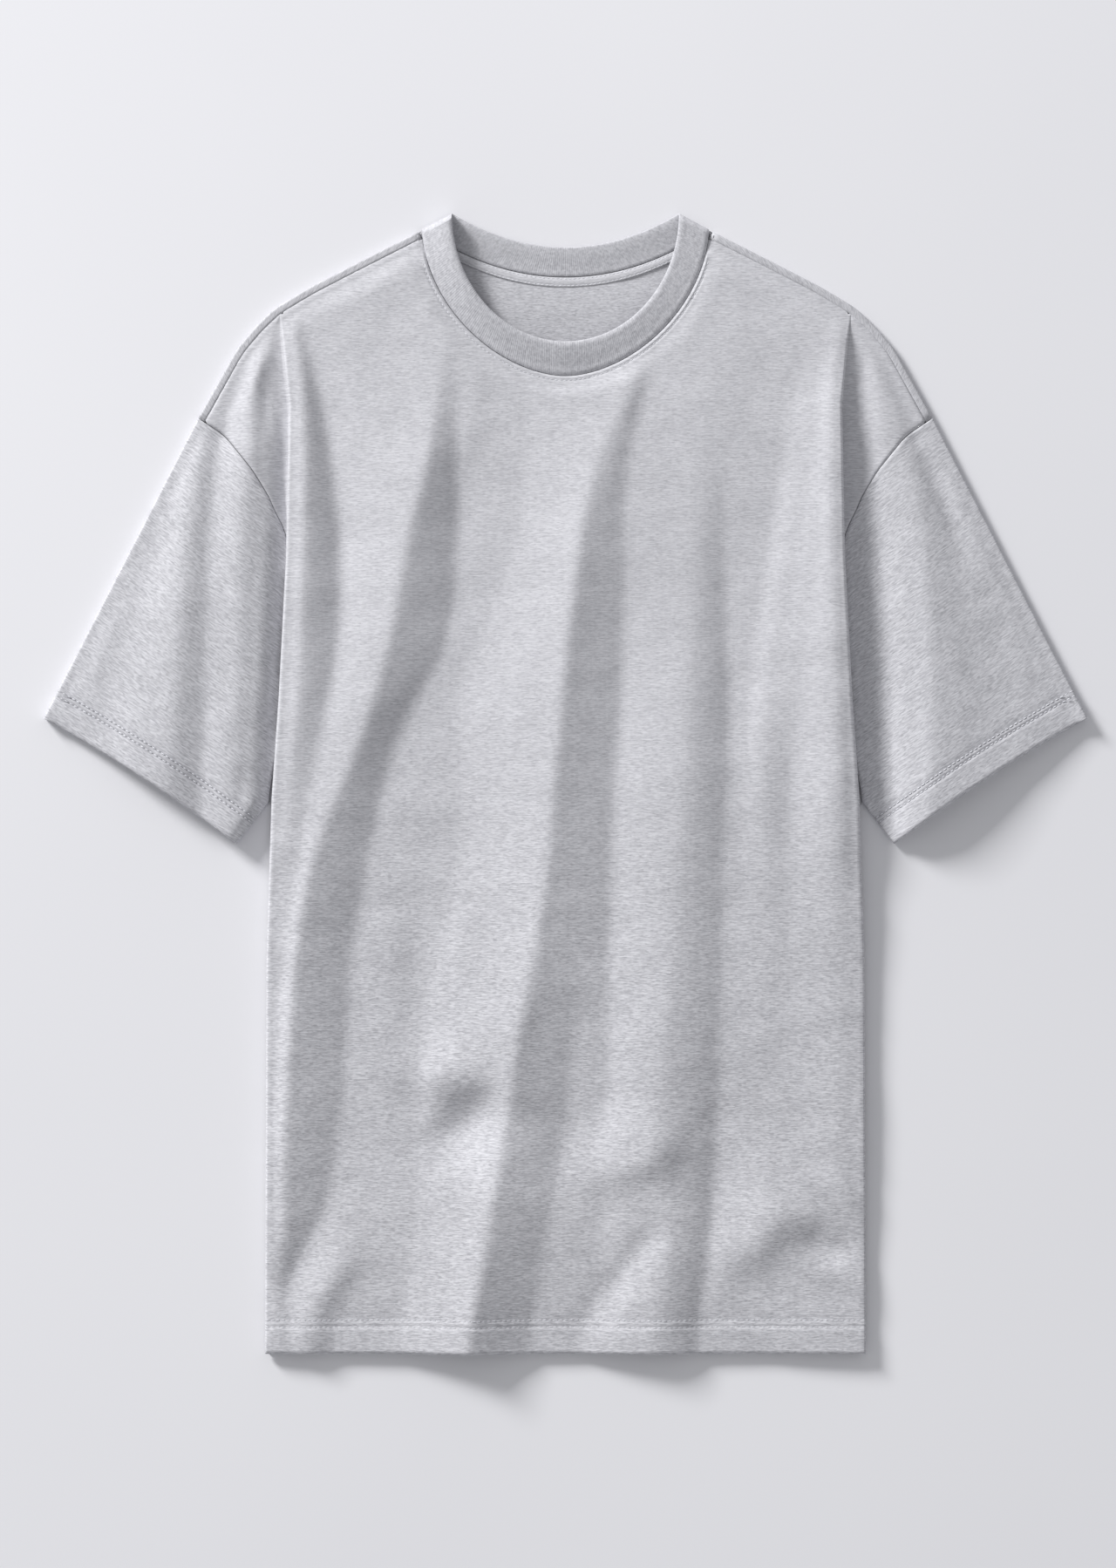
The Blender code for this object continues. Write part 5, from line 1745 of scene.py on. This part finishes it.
@dataclass(frozen=True)
class Studio:
    """Pale floor, one soft lamp low in the upper left, an even sky and the camera above."""

    camera_height: float = 4.0
    field_height: float = 1.0794
    sensor: float = 36.0
    centre: tuple[float, float] = (-0.0051, -0.0003)
    lamp_distance: float = 7.0
    lamp_elevation: float = 23.0
    lamp_azimuth: float = 135.0
    lamp_size: float = 1.8
    lamp_power: float = 580.0
    sky: tuple[float, float, float] = (0.965, 0.975, 1.0)
    sky_strength: float = 0.435
    floor_size: float = 12.0
    floor_light: tuple[float, float, float] = (0.865, 0.862, 0.89)
    floor_dark: tuple[float, float, float] = (0.835, 0.832, 0.862)
    floor_drop: float = 0.0003
    cloud_scale: float = 1.4

    def floor_material(self) -> bpy.types.Material:
        """Smooth painted floor with a very faint tone change."""
        material, shader, maker = new_material("pale_floor")
        tone = maker.spread(maker.object_noise(self.cloud_scale), 0.3, 0.7)
        colour = maker.mix(tone, self.floor_dark + (1.0,), self.floor_light + (1.0,))
        maker.feed(colour, shader.inputs["Base Color"])
        shader.inputs["Roughness"].default_value = 0.9
        shader.inputs["Specular IOR Level"].default_value = 0.2
        return material

    def build(self) -> None:
        """Add the floor, lamp, sky and camera."""
        half = self.floor_size / 2
        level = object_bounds()[0][2] - self.floor_drop
        mesh = bpy.data.meshes.new("floor")
        corners = [(-half, -half, level), (half, -half, level), (half, half, level), (-half, half, level)]
        mesh.from_pydata(corners, [], [(0, 1, 2, 3)])
        mesh.materials.append(self.floor_material())
        floor = new_object("floor", mesh)
        floor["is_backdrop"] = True
        self._lamp()
        self._sky()
        self._camera()

    def _lamp(self) -> None:
        """A square soft lamp aimed at the shirt."""
        data = bpy.data.lights.new("key", "AREA")
        data.shape = "SQUARE"
        data.size = self.lamp_size
        data.energy = self.lamp_power
        lamp = new_object("key", data)
        up, turn = math.radians(self.lamp_elevation), math.radians(self.lamp_azimuth)
        lamp.location = (self.lamp_distance * math.cos(up) * math.cos(turn),
                         self.lamp_distance * math.cos(up) * math.sin(turn),
                         self.lamp_distance * math.sin(up))
        lamp.rotation_euler = (math.pi / 2 - up, 0.0, turn + math.pi / 2)

    def _sky(self) -> None:
        """An even pale sky that fills the shadows."""
        world = bpy.data.worlds.new("studio_sky")
        world.use_nodes = True
        background = world.node_tree.nodes["Background"]
        background.inputs["Color"].default_value = self.sky + (1.0,)
        background.inputs["Strength"].default_value = self.sky_strength
        bpy.context.scene.world = world

    def _camera(self) -> None:
        """The camera, straight above the shirt."""
        data = bpy.data.cameras.new("above")
        data.type = "PERSP"
        data.sensor_width = self.sensor
        data.lens = self.sensor * self.camera_height / self.field_height
        data.clip_end = 30.0
        camera = new_object("above", data)
        camera.location = (*self.centre, self.camera_height)
        bpy.context.scene.camera = camera
        bpy.context.scene.view_settings.view_transform = "Standard"
        bpy.context.scene.view_settings.look = "None"


# ---------------------------------------------------------------- assembly


def report(piece: bpy.types.Object) -> None:
    """Log a piece's name and triangle count."""
    piece.data.calc_loop_triangles()
    LOG.info("%s: %d triangles", piece.name, len(piece.data.loop_triangles))


def main() -> None:
    """Build the shirt's pieces in order, then the studio."""
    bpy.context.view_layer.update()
    layout = Layout.from_frame()
    front = FrontBody(layout)
    rib = NeckRib(layout)
    tape = NeckTape(layout)
    sleeves = {side: Sleeve(layout, side, front) for side in Side}

    back_piece = ride(BackBody(layout).build(), "back_jersey", "back_panel")
    report(back_piece)
    front_piece = ride(front.build(), "front_jersey", "front_panel")
    report(front_piece)
    rib_piece = ride(rib.build(), "neck_rib", "neck_rib")
    report(rib_piece)
    tape_piece = ride(tape.build(), "neck_tape", "neck_tape")
    report(tape_piece)
    neck_sewing = StitchRow(pitch=3.2, length=2.6, thread=0.5, seed=5)
    tape_sewing = StitchRow(pitch=3.0, length=2.2, thread=0.5, seed=7)
    hem_rows = ride(StitchRow(seed=3).sew("hem_stitches", front.hem_paths()), "front_jersey")
    neck_row = ride(neck_sewing.sew("neck_stitches", [front.neck_path()]), "front_jersey")
    tape_rows = ride(tape_sewing.sew("tape_stitches", tape.stitch_paths()), "neck_tape")
    for piece in (hem_rows, neck_row, tape_rows):
        report(piece)
    for side, sleeve in sleeves.items():
        name = side.name.lower()
        piece = ride(sleeve.build(), "sleeve_jersey", f"sleeve_{name}")
        report(piece)
        cuff_sewing = StitchRow(thread=0.85, length=3.1, seed=9 + side.value)
        rows = ride(cuff_sewing.sew(f"{name}_cuff_stitches", sleeve.stitch_paths()), "sleeve_jersey")
        report(rows)
    Studio().build()


if __name__ == "__main__":
    logging.basicConfig(level=logging.INFO, format="%(name)s: %(message)s")
    main()
